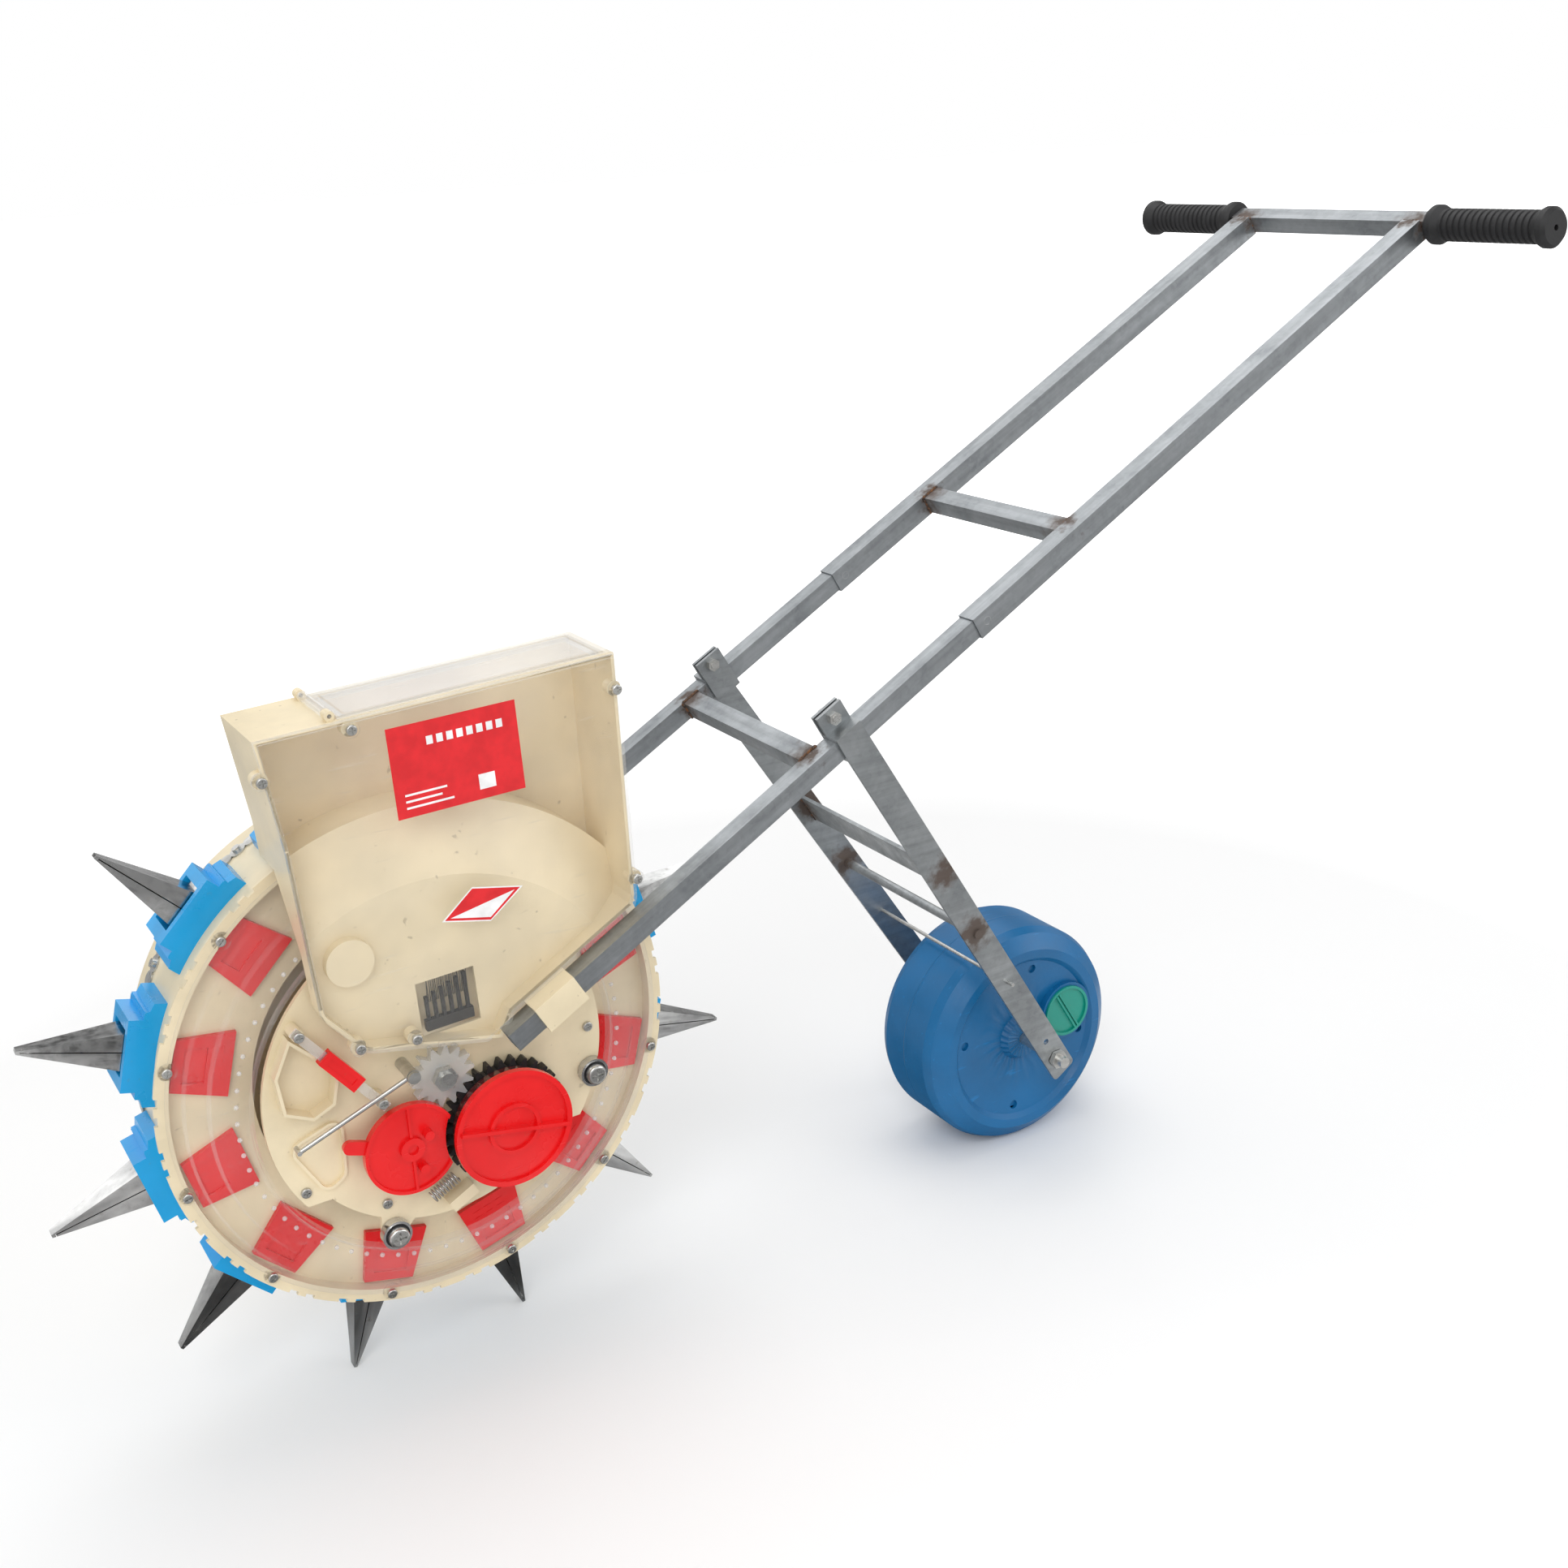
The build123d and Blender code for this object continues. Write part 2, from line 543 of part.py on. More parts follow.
def tension_spring():
    """A coil spring between the seed brush cover and its anchor."""
    start = Vector(-19, HUB_NEAR_Y - 9, -92)
    direction = Vector(20, 0, 10)
    coil = Helix(pitch=2.6, height=direction.length, radius=4.6)
    wire = Plane(origin=coil @ 0, z_dir=coil % 0) * Circle(0.6)
    return Plane(origin=start, z_dir=direction) * sweep(wire, path=coil)


def brush_cover():
    """The smaller red cover with its finger tab, ribs, bush and two pegs."""
    near_y = HUB_NEAR_Y - 14
    x, z = -31.0, -45.0
    face = Pos(x, z) * Circle(35)
    tab = Pos(x - 37, z + 13) * (Rot(0, 0, 160) * SlotOverall(24, 10))
    clear = Pos(METERING_X, METERING_Z) * Circle(METERING_PITCH_RADIUS + GEAR_MODULE + 1.0)
    face = (face + tab) - clear
    cover = slab(face, near_y, near_y + 4)
    rim = Circle(35) - Circle(32.5)
    cover += slab((Pos(x, z) * rim) - clear, near_y - 2, near_y)
    cover += disc(x, z, 9, near_y - 3, near_y) - disc(x, z, 4, near_y - 4, near_y - 1)
    for peg_x, peg_z in ((x + 12, z + 9), (x + 6, z - 16)):
        cover += disc(peg_x, peg_z, 3.6, near_y - 7, near_y)
    for rib_z in (z + 21, z - 21):
        cover += Pos(x, near_y - 1, rib_z) * Box(2, 2, 24)
    return cover + (disc(x, z, 7, near_y, HUB_NEAR_Y))


def spring_anchor():
    """The small block that holds the spring's outer end, with its screw."""
    block = Pos(4, HUB_NEAR_Y - 6, -100) * Rotation(0, -27, 0) * Box(22, 12, 9)
    return block & disc(0, 0, HUB_LOWER_RADIUS - 1, HUB_NEAR_Y - 12, HUB_NEAR_Y)


def strip_place():
    """The middle of the gate strip, with local X along it."""
    return Pos(-74.3, HUB_NEAR_Y - STRIP_STANDOFF, 32.8) * Rotation(0, 53, 0)


def gate_strip():
    """The clear strip that the seed gate's clip slides along."""
    return strip_place() * Box(2 * STRIP_SCREW_REACH + 10, STRIP_THICKNESS, STRIP_WIDTH)


def gate_clip():
    """The red clip that slides along the strip."""
    tunnel = Box(40, STRIP_THICKNESS + 2 * SLIDING_GAP, STRIP_WIDTH + 2 * SLIDING_GAP)
    return strip_place() * (Box(36, 6.5, 12) - tunnel - Pos(0, -4, 0) * Box(26, 3, 5))


def gate_rod():
    """The bent wire lever across the hub with its eye."""
    y = HUB_NEAR_Y - LEVER_STANDOFF
    start = Vector(LEVER_PIVOT[0], y, LEVER_PIVOT[1])
    end = Vector(LEVER_END[0], y, LEVER_END[1])
    along = end - start
    rod = Plane(origin=start, z_dir=along) * Cylinder(LEVER_RADIUS, along.length, align=BASE)
    hook = disc(*LEVER_END, LEVER_RADIUS, y - LEVER_RADIUS, y + 7.5)
    eye = disc(*LEVER_PIVOT, LEVER_POST_RADIUS + 2.5, y - 2.5, y + 2.5)
    bore = disc(*LEVER_PIVOT, LEVER_POST_RADIUS + RUNNING_FIT, y - 10, y + 10)
    return rod + hook + eye - bore


def gate_post():
    """The shouldered screw that the wire lever swings on."""
    y = HUB_NEAR_Y - LEVER_STANDOFF
    post = disc(*LEVER_PIVOT, LEVER_POST_RADIUS, y - 4, HUB_NEAR_Y)
    head = disc(*LEVER_PIVOT, LEVER_POST_RADIUS + 2, y - 5.5, y - 3)
    return post + head + disc(*LEVER_PIVOT, LEVER_POST_RADIUS + 2, y + 3, HUB_NEAR_Y)


def strip_ends():
    """X and Z of the two posts that carry the gate strip."""
    ends = [strip_place() * Pos(side * STRIP_SCREW_REACH, 0, 0) for side in (-1, 1)]
    return [(end.position.X, end.position.Z) for end in ends]


def build_hub():
    """The still hub with the seed drive that sits on it."""
    hub = hub_disc()
    strip_far_y = HUB_NEAR_Y - STRIP_STANDOFF + STRIP_THICKNESS / 2
    for x, z in HUB_SCREWS:
        hub -= disc(x, z, 2.0, HUB_NEAR_Y - 20, HUB_NEAR_Y + 20)
    for x, z in strip_ends():
        hub += disc(x, z, 4.5, strip_far_y, HUB_NEAR_Y)
    parts["hub_disc"] = hub + spring_anchor()
    parts["gate_strip"] = gate_strip()
    studs = [guide_stud(angle) for angle in GUIDE_ANGLES]
    parts["shoulder_screws"] = Compound(children=studs + [gate_post()])
    for index, angle in enumerate(GUIDE_ANGLES):
        parts[f"guide_bearing_{index + 1}"] = guide_bearing(angle)
    parts["metering_housing"] = metering_housing()
    parts["metering_cap"] = metering_cap()
    parts["metering_gear"] = metering_gear() + seed_roller()
    parts["brush_cover"] = brush_cover()
    parts["tension_spring"] = tension_spring()
    parts["gate_clip"] = gate_clip()
    parts["gate_rod"] = gate_rod()


# ---- hopper --------------------------------------------------------------------------------------


def hopper_outline():
    """The hopper's side outline in its own level frame."""
    corners = [
        (HOPPER_LEFT, HOPPER_TOP),
        (HOPPER_LEFT + 8, 205),
        (HOPPER_LEFT + 12, 82),
        (-56, 47),
        (43, 22),
        (53, 40),
        (156, 91),
        (159, 98),
        (HOPPER_RIGHT, HOPPER_TOP),
    ]
    face = outline(corners)
    rounded = [v for v in face.vertices() if v.X < -50 and v.Y < 90]
    return fillet(rounded, 16)


def wheel_room(gap):
    """The space that the wheel needs beside the hopper, grown by a gap."""
    flat_y = RING_LIP_NEAR_Y - 1.5 - gap
    return turned(
        [
            (0, flat_y),
            (150 + gap, flat_y),
            (190 + gap, DRUM_NEAR_Y - 12 - gap),
            (SHELF_RADIUS + 4 + gap, DRUM_NEAR_Y - 8 - gap),
            (SHELF_RADIUS + 4 + gap, 60),
            (0, 60),
        ]
    )


def hopper_body():
    """The deep cream shell, stepped over the wheel, with a fixed roof beside the lid."""
    wall = HOPPER_WALL
    face = hopper_outline()
    body = ALONG_HOPPER * slab(face, HOPPER_NEAR_Y, HOPPER_FAR_Y) - wheel_room(0)
    hollow = ALONG_HOPPER * slab(offset(face, -wall), HOPPER_NEAR_Y - 1, HOPPER_FAR_Y - wall)
    body -= hollow - wheel_room(wall)
    left = LID_HINGE_X + 3
    right = HOPPER_RIGHT - wall
    mouth_y = (HOPPER_NEAR_Y + 2 * wall + HOPPER_FAR_Y - 2 * wall) / 2
    mouth_depth = HOPPER_FAR_Y - HOPPER_NEAR_Y - 4 * wall
    mouth = Pos((left + right) / 2 - 1, mouth_y, HOPPER_TOP) * Box(right - left - 2, mouth_depth, 12)
    window = Pos(12, RING_LIP_NEAR_Y - 3, 56) * Box(44, 20, 42)
    body -= ALONG_HOPPER * (mouth + window)
    x, z = polar(GUIDE_CENTRE_RADIUS, GUIDE_ANGLES[2])
    room_y = GUIDE_NEAR_Y - GUIDE_HEAD - 1.5
    body += disc(x, z, GUIDE_BEARING_RADIUS + 6, room_y - HOPPER_WALL, RING_LIP_NEAR_Y - 1.5)
    body -= disc(x, z, GUIDE_BEARING_RADIUS + 3, room_y, RING_LIP_NEAR_Y)
    for x, z in cover_screw_points():
        boss = disc(x, z, 5.5, HOPPER_NEAR_Y, HOPPER_NEAR_Y + 8)
        bore = disc(x, z, 2.0, HOPPER_NEAR_Y - 1, HOPPER_NEAR_Y + 12)
        body += ALONG_HOPPER * boss
        body -= ALONG_HOPPER * bore
    for z in (HOPPER_FAR_Y - 6, HOPPER_NEAR_Y + 6):
        knuckle = disc(LID_HINGE_X, HOPPER_TOP + 3.5, 3.5, z - 4, z + 4)
        knuckle += Pos(LID_HINGE_X, z, HOPPER_TOP + 1) * Box(5, 8, 3.5)
        bore = disc(LID_HINGE_X, HOPPER_TOP + 3.5, 1.5 + RUNNING_FIT, z - 5, z + 5)
        body = body + ALONG_HOPPER * knuckle - ALONG_HOPPER * bore
    foot = disc(-30, 100, 9, RING_LIP_NEAR_Y - 2, HUB_NEAR_Y) + disc(70, 85, 9, RING_LIP_NEAR_Y - 2, HUB_NEAR_Y)
    return body + foot


def cover_screw_points():
    """X and Z of the cover's screws in the hopper's level frame."""
    return [(-93, 257), (-30, 277), (162, 258), (161, 112), (-20, 45), (-60, 52)]


def hopper_cover():
    """The clear plate over the hopper's near side, with a rim and screw ears."""
    near_y = HOPPER_NEAR_Y - HOPPER_COVER
    face = hopper_outline()
    plate = slab(face, near_y, HOPPER_NEAR_Y)
    rim = slab(face - offset(face, -2.2), near_y - 2.2, near_y)
    cover = plate + rim
    for x, z in cover_screw_points():
        cover += disc(x, z, 6, near_y - 1, HOPPER_NEAR_Y)
    for x, z in cover_screw_points():
        cover -= disc(x, z, 2.0, near_y - 5, HOPPER_NEAR_Y + 1)
        cover -= disc(x, z, 4.5, near_y - 5, near_y - 1)
    tube_room = Rotation(0, HOPPER_TILT - TUBE_TILT, 0) * Pos(100, -TUBE_Y, 0)
    return ALONG_HOPPER * (cover - tube_room * Box(140, LOWER_TUBE + 1, LOWER_TUBE + 1))


def hopper_lid():
    """The clear lid, hinged at the hopper's left, with a rounded pull tab at the right."""
    low = HOPPER_TOP + MOVING_GAP
    depth = HOPPER_FAR_Y - HOPPER_NEAR_Y - 2
    middle_y = (HOPPER_FAR_Y + HOPPER_NEAR_Y) / 2
    start = LID_HINGE_X + 4.5
    plate = Rectangle(HOPPER_RIGHT - start, depth)
    profile = Pos((HOPPER_RIGHT + start) / 2, middle_y) * plate
    tab = Pos(HOPPER_RIGHT, middle_y + 6) * Ellipse(LID_BULGE, depth / 2 - 6)
    lid = extrude(Plane.XY.offset(low) * (profile + tab), LID_THICKNESS)
    skirt = Rectangle(HOPPER_RIGHT - start - 14, depth - 16) - Rectangle(HOPPER_RIGHT - start - 18, depth - 20)
    lid += extrude(Plane.XY.offset(low - 4) * Pos((HOPPER_RIGHT + start) / 2 - 0.5, middle_y) * skirt, 4)
    knuckle_half = depth / 2 - 11
    knuckle = slab(Pos(LID_HINGE_X, HOPPER_TOP + 3.5) * Circle(3.5), middle_y - knuckle_half, middle_y + knuckle_half)
    web = Pos(LID_HINGE_X + 3.5, middle_y, low + LID_THICKNESS / 2) * Box(4, 2 * knuckle_half, LID_THICKNESS)
    pins = disc(LID_HINGE_X, HOPPER_TOP + 3.5, 1.5, HOPPER_NEAR_Y + 2.5, HOPPER_FAR_Y - 2.5)
    return ALONG_HOPPER * (lid + knuckle + web + pins)


def seed_brush():
    """The bristle strip behind the seed window."""
    base = Pos(12, RING_LIP_NEAR_Y - 1, 42) * Box(36, 5, 8)
    for index in range(6):
        height = 20 + 2 * index
        base += Pos(-3 + 6 * index, RING_LIP_NEAR_Y - 1, 44 + height / 2) * Box(2.4, 3, height)
    return ALONG_HOPPER * base


def build_hopper():
    """The hopper with its cover, lid and brush, and the pan-head screws of hopper and hub."""
    parts["hopper_body"] = hopper_body()
    parts["hopper_cover"] = hopper_cover()
    parts["hopper_lid"] = hopper_lid()
    parts["seed_brush"] = seed_brush()
    head_y = HOPPER_NEAR_Y - HOPPER_COVER - 1
    strip_y = HUB_NEAR_Y - STRIP_STANDOFF - STRIP_THICKNESS / 2
    screws = [ALONG_HOPPER * pan_screw(x, z, head_y, 10, 1.95) for x, z in cover_screw_points()]
    screws += [pan_screw(x, z, HUB_NEAR_Y, HUB_THICKNESS, 2.0) for x, z in HUB_SCREWS]
    screws += [pan_screw(x, z, strip_y, 0.0, 2.0) for x, z in strip_ends()]
    parts["case_screws"] = Compound(children=screws)


# ---- frame and handle ----------------------------------------------------------------------------


def grip(side):
    """A ribbed rubber grip with a flange at each end; side is -1 near and 1 far."""
    points = [(0.0, 0.0), (GRIP_FLANGE_RADIUS - 2, 0.0), (GRIP_FLANGE_RADIUS, 3.0)]
    points += [(GRIP_FLANGE_RADIUS, 8.0), (GRIP_RADIUS, 14.0)]
    ribs = 15
    pitch = (GRIP_LENGTH - 2 * 14.0) / ribs
    for rib in range(ribs):
        start = 14.0 + rib * pitch
        points += [(GRIP_RADIUS, start + 0.5 * pitch), (GRIP_RADIUS - 1.2, start + 0.6 * pitch)]
        points += [(GRIP_RADIUS - 1.2, start + 0.9 * pitch), (GRIP_RADIUS, start + pitch)]
    points += [(GRIP_FLANGE_RADIUS, GRIP_LENGTH - 8.0), (GRIP_FLANGE_RADIUS, GRIP_LENGTH - 3.0)]
    points += [(GRIP_FLANGE_RADIUS - 3, GRIP_LENGTH), (0.0, GRIP_LENGTH)]
    body = turned(points) - Pos(0, GRIP_LENGTH / 2 - 3, 0) * Box(CROSSBAR, GRIP_LENGTH, CROSSBAR)
    body -= Pos(0, GRIP_LENGTH, 0) * Rotation(90, 0, 0) * Cylinder(2.5, 20)
    flip = Rotation(0, 0, 180) if side < 0 else Location()
    return ALONG_TUBE * Pos(HANDLEBAR_AT, side * GRIP_GAP, 0) * flip * body


def crossbar(at, half_length, size, wall):
    """A square tube across the frame."""
    tube = Box(size, 2 * half_length, size) - Box(size - 2 * wall, 2 * half_length + 2, size - 2 * wall)
    return ALONG_TUBE * Pos(at, 0, 0) * tube


def far_hub_block():
    """The bearing block welded to the far tube, which carries the shaft's far end."""
    far_y = TUBE_Y - LOWER_TUBE / 2
    block = ALONG_TUBE * Pos(0, far_y - 6, 0) * fillet(Box(44, 12, 34).edges().filter_by(Axis.Y), 8)
    bore = disc(0, 0, SHAFT_RADIUS + RUNNING_FIT, far_y - 14, far_y - 1 + 0.5)
    for t in (-15, 15):
        block += ALONG_TUBE * Pos(t, far_y - 14, 0) * Rotation(90, 0, 0) * Cylinder(4.5, 4)
    return block - bore


def tube_clip():
    """The cream clamp that holds the near tube to the hub disc."""
    outer = LOWER_TUBE + 7
    near_y = -TUBE_Y - outer / 2
    block = Pos(94, (near_y - 88) / 2, 0) * Box(36, -88 - near_y, outer)
    foot = Pos(96, (-88 + HUB_NEAR_Y) / 2, -2) * Box(30, HUB_NEAR_Y + 88, 16)
    hole = Pos(98, -TUBE_Y, -14) * Cylinder(3.2, 12)
    tube = Pos(94, -TUBE_Y, 0) * Box(60, LOWER_TUBE, LOWER_TUBE)
    return ALONG_TUBE * (block + foot - tube - hole)


def build_frame():
    """The lower tubes, and the handle that telescopes over them."""
    lower_end = UPPER_TUBE_START + TUBE_OVERLAP
    upper_end = HANDLEBAR_AT - CROSSBAR / 2
    starts = {"near": (-1, NEAR_TUBE_START), "far": (1, FAR_TUBE_START)}
    for name, (side, start) in starts.items():
        y = side * TUBE_Y
        lower_length = lower_end - start
        upper_length = upper_end - UPPER_TUBE_START
        parts[f"{name}_lower_tube"] = square_tube(lower_length, LOWER_TUBE, LOWER_TUBE_WALL, y, start)
        parts[f"{name}_upper_tube"] = square_tube(
            upper_length, UPPER_TUBE, UPPER_TUBE_WALL, y, UPPER_TUBE_START
        )
        parts[f"{name}_grip"] = grip(side)
    parts["lower_crossbar"] = crossbar(LOWER_CROSSBAR_AT, TUBE_Y - LOWER_TUBE / 2, CROSSBAR, 1.5)
    parts["mid_crossbar"] = crossbar(MID_CROSSBAR_AT, TUBE_Y - UPPER_TUBE / 2, CROSSBAR, 1.5)
    parts["handlebar"] = crossbar(HANDLEBAR_AT, HANDLE_HALF_WIDTH - 3, CROSSBAR, 1.5)
    parts["far_lower_tube"] += far_hub_block()
    parts["tube_clip"] = tube_clip()


# ---- press roller --------------------------------------------------------------------------------


def tube_point(along, off):
    """X and Z of a point along the tubes' slope and off it, upwards."""
    tilt = math.radians(TUBE_TILT)
    return (
        along * math.cos(tilt) - off * math.sin(tilt),
        along * math.sin(tilt) + off * math.cos(tilt),
    )


def arm_line(side):
    """The top and the axle point of one arm's middle line."""
    top_x, top_z = tube_point(CLAMP_AT, 0)
    top_y = side * (TUBE_Y + LOWER_TUBE / 2 + SLIDING_GAP + ARM_THICKNESS / 2)
    foot_y = side * (ARM_FOOT_Y + ARM_THICKNESS / 2)
    return Vector(top_x, top_y, top_z), Vector(ROLLER_X, foot_y, ROLLER_Z)


def arm_plane(side):
    """A frame at an arm's top: local X down the arm, local Z across its thickness."""
    top, foot = arm_line(side)
    down = (foot - top).normalized()
    across = down.cross(Vector(math.cos(math.radians(TUBE_TILT)), 0, math.sin(math.radians(TUBE_TILT))))
    return Plane(origin=top, x_dir=down, z_dir=across)


def roller_arm(side):
    """A flat arm with the strap that clamps it round a lower tube."""
    top, foot = arm_line(side)
    length = (foot - top).length
    reach = length + 20
    flat = arm_plane(side) * (Pos(reach / 2, 0, 0) * Box(reach, ARM_WIDTH, ARM_THICKNESS))
    flat = fillet(flat.edges().filter_by(lambda e: abs(e.length - ARM_THICKNESS) < 0.01), 4)
    axle = disc(ROLLER_X, ROLLER_Z, ROLLER_AXLE_RADIUS, -130, 130)
    small = arm_plane(side) * (Pos(length - 24, 0, 0) * Cylinder(2.6, 10))
    tube = LOWER_TUBE + 2 * SLIDING_GAP
    outer = tube + 2 * ARM_THICKNESS
    strap = Box(CLAMP_LENGTH, outer, outer)
    inner_y = -side * (outer / 2 - ARM_THICKNESS / 2)
    strap += Pos(0, inner_y, outer / 2 + 8) * Box(CLAMP_LENGTH, ARM_THICKNESS, 18)
    strap += Pos(0, inner_y + side * (ARM_THICKNESS + 2.4), outer / 2 + 8) * Box(CLAMP_LENGTH, ARM_THICKNESS, 18)
    strap -= Box(CLAMP_LENGTH + 2, tube, tube)
    bolt_hole = Pos(0, inner_y, outer / 2 + 9) * Rotation(90, 0, 0) * Cylinder(3.0, 30)
    strap -= bolt_hole
    strap = ALONG_TUBE * Pos(CLAMP_AT, side * TUBE_Y, 0) * strap
    room = ALONG_TUBE * Pos(CLAMP_AT, side * TUBE_Y, 0) * Box(CLAMP_LENGTH + 20, tube, tube)
    return flat + strap - axle - small - room


def clamp_bolt(side):
    """The bolt and nut that pinch one strap's two tabs together."""
    tube = LOWER_TUBE + 2 * SLIDING_GAP
    outer = tube + 2 * ARM_THICKNESS
    inner_y = -side * (outer / 2 - ARM_THICKNESS / 2)
    start = inner_y - side * (ARM_THICKNESS / 2)
    end = inner_y + side * (1.5 * ARM_THICKNESS + 2.4)
    low, high = min(start, end), max(start, end)
    height = outer / 2 + 9
    bolt = disc(0, height, 3.0, low - 5, high + 9)
    bolt += slab(Pos(0, height) * RegularPolygon(5.6, 6), low - 4, low)
    bolt += slab(Pos(0, height) * RegularPolygon(5.6, 6), high, high + 5)
    return ALONG_TUBE * Pos(CLAMP_AT, side * TUBE_Y, 0) * bolt


def cross_member(down, radius, extra):
    """A round bar along Y through both arms, some way down them."""
    top, foot = arm_line(1)
    along = (foot - top).normalized()
    centre = top + along * down
    half = centre.Y + extra
    return disc(centre.X, centre.Z, radius, -half, half)


def arm_brace():
    """The flat plate welded between the arms."""
    top, foot = arm_line(1)
    along = (foot - top).normalized()
    centre = top + along * 160
    half = centre.Y - ARM_THICKNESS / 2 - 1.6
    tilt = math.degrees(math.atan2(-along.Z, along.X))
    return Pos(centre.X, 0, centre.Z) * Rotation(0, tilt, 0) * Box(30, 2 * half, 3)


def press_roller():
    """The hollow barrel roller with dished ends and a filling hole."""
    half = ROLLER_HALF_WIDTH
    band = 28.0
    outer_side = [(ROLLER_RADIUS, band), (ROLLER_RADIUS - 3.5, 36), (ROLLER_END_RADIUS + 2, half - 5)]
    outer_side += [(ROLLER_END_RADIUS - 4, half), (78, half), (74, half - 4), (22, half - 9), (18, half - 3)]
    inner_side = [(ROLLER_RADIUS - 3, band - 1), (ROLLER_RADIUS - 6.5, 35), (ROLLER_END_RADIUS - 2, half - 7)]
    inner_side += [(ROLLER_END_RADIUS - 6, half - 3), (79, half - 3), (74, half - 7), (20, half - 12)]
    axle = ROLLER_AXLE_RADIUS + RUNNING_FIT
    outer_half = outer_side + [(axle, half - 3)]
    outer = turned([(x, -y) for x, y in outer_half[::-1]] + outer_half)
    inner_half = inner_side + [(axle + 3, half - 12)]
    inner = turned([(x, -y) for x, y in inner_half[::-1]] + inner_half)
    roller = outer - inner
    cap_x, cap_z = filler_place()
    neck = disc(cap_x, cap_z, 27, -half + 1, -half + 12) - disc(cap_x, cap_z, 24.0 + RUNNING_FIT, -half - 2, 0)
    roller -= disc(cap_x, cap_z, 24.0 + RUNNING_FIT, -half - 2, -half + 14)
    roller += neck
    for angle in (80, 170, 260, 350):
        x, z = polar(66, angle)
        roller -= disc(x, z, 4, -half - 2, -half + 7.5)
    return Pos(ROLLER_X, 0, ROLLER_Z) * roller


def filler_place():
    """X and Z of the filler cap from the roller's axle."""
    return 48.0, 14.0


def filler_cap():
    """The green screwed plug in the roller's near end, with a coin slot."""
    half = ROLLER_HALF_WIDTH
    x, z = filler_place()
    cap = disc(x, z, 24.0, -half - 1, -half + 9)
    cap -= disc(x, z, 21.5, -half - 2, -half + 1)
    cap += Pos(x, -half, z) * Rotation(0, 60, 0) * (Box(43, 2.6, 5) - Box(44, 4, 1.6))
    return Pos(ROLLER_X, 0, ROLLER_Z) * cap


def build_roller():
    """The press roller, its arms and the wire scraper."""
    for name, side in (("near", -1), ("far", 1)):
        parts[f"{name}_roller_arm"] = roller_arm(side)
    parts["clamp_bolts"] = Compound(children=[clamp_bolt(-1), clamp_bolt(1)])
    brace_rod = cross_member(235, 4.0, 4.0)
    wire = cross_member(302, 1.6, 8.0)
    for side, name in ((-1, "near"), (1, "far")):
        parts[f"{name}_roller_arm"] -= brace_rod
        parts[f"{name}_roller_arm"] -= wire
    parts["arm_braces"] = Compound(children=[arm_brace(), brace_rod])
    parts["scraper_wire"] = wire
    axle_end = ARM_FOOT_Y + ARM_THICKNESS + 12
    axle = disc(ROLLER_X, ROLLER_Z, ROLLER_AXLE_RADIUS, -axle_end, axle_end)
    parts["roller_axle"] = axle
    nuts = []
    for side in (-1, 1):
        for y in (ARM_FOOT_Y - 4.1, ARM_FOOT_Y + ARM_THICKNESS + 3.1):
            nut = slab(Pos(ROLLER_X, ROLLER_Z) * RegularPolygon(8.6, 6), side * y - 2.2, side * y + 2.2)
            nuts.append(nut - axle)
    parts["axle_nuts"] = Compound(children=nuts)
    parts["press_roller"] = press_roller()
    parts["filler_cap"] = filler_cap()


# ---- stand the machine on the ground and write the pieces --------------------------------------------


def place_on_ground():
    """The move that puts the box's bottom centre at the origin."""
    box = Compound(children=[copy for shape in parts.values() for copy in shape.solids()]).bounding_box()
    return Pos(-(box.min.X + box.max.X) / 2, -(box.min.Y + box.max.Y) / 2, AXLE_HEIGHT)


def standing(shape):
    """A piece moved onto the ground: one solid, or a group of separate solids."""
    solids = [STAND * solid for solid in shape.solids()]
    return solids[0] if len(solids) == 1 else Compound(solids)


build_wheel()
build_hub()
build_hopper()
build_frame()
build_roller()
STAND = place_on_ground()
os.makedirs("parts", exist_ok=True)
for name, shape in parts.items():
    export_step(standing(shape), f"parts/{name}.step")
print(len(parts), "nodes; axle at", STAND.position)
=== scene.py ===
"""Looks for the hand-push seeder: finishes, labels, welds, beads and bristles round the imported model."""

import json
import logging
import math
from dataclasses import dataclass, field
from enum import Enum
from typing import Any, Callable, Iterable, Sequence

import bmesh
import bpy
from mathutils import Matrix, Vector


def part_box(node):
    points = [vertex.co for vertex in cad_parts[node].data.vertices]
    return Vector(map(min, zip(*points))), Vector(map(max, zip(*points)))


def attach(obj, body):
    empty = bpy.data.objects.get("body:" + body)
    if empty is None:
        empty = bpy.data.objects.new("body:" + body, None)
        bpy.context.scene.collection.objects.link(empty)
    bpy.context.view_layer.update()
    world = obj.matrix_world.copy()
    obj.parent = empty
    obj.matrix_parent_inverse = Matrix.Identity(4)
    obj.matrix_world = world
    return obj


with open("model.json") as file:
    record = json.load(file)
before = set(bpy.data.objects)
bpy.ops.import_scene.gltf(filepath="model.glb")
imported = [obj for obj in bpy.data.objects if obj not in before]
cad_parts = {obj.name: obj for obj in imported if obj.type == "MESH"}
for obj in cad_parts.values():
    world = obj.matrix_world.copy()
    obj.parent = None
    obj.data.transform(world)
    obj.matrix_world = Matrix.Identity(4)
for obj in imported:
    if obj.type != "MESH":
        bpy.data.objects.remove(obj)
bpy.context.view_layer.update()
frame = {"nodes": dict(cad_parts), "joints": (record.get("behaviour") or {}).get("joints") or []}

logging.basicConfig(level=logging.INFO, format="%(message)s")
LOG = logging.getLogger("seeder")

Colour = tuple[float, float, float]
MM = 0.001
WHEEL_ARC = 0.19


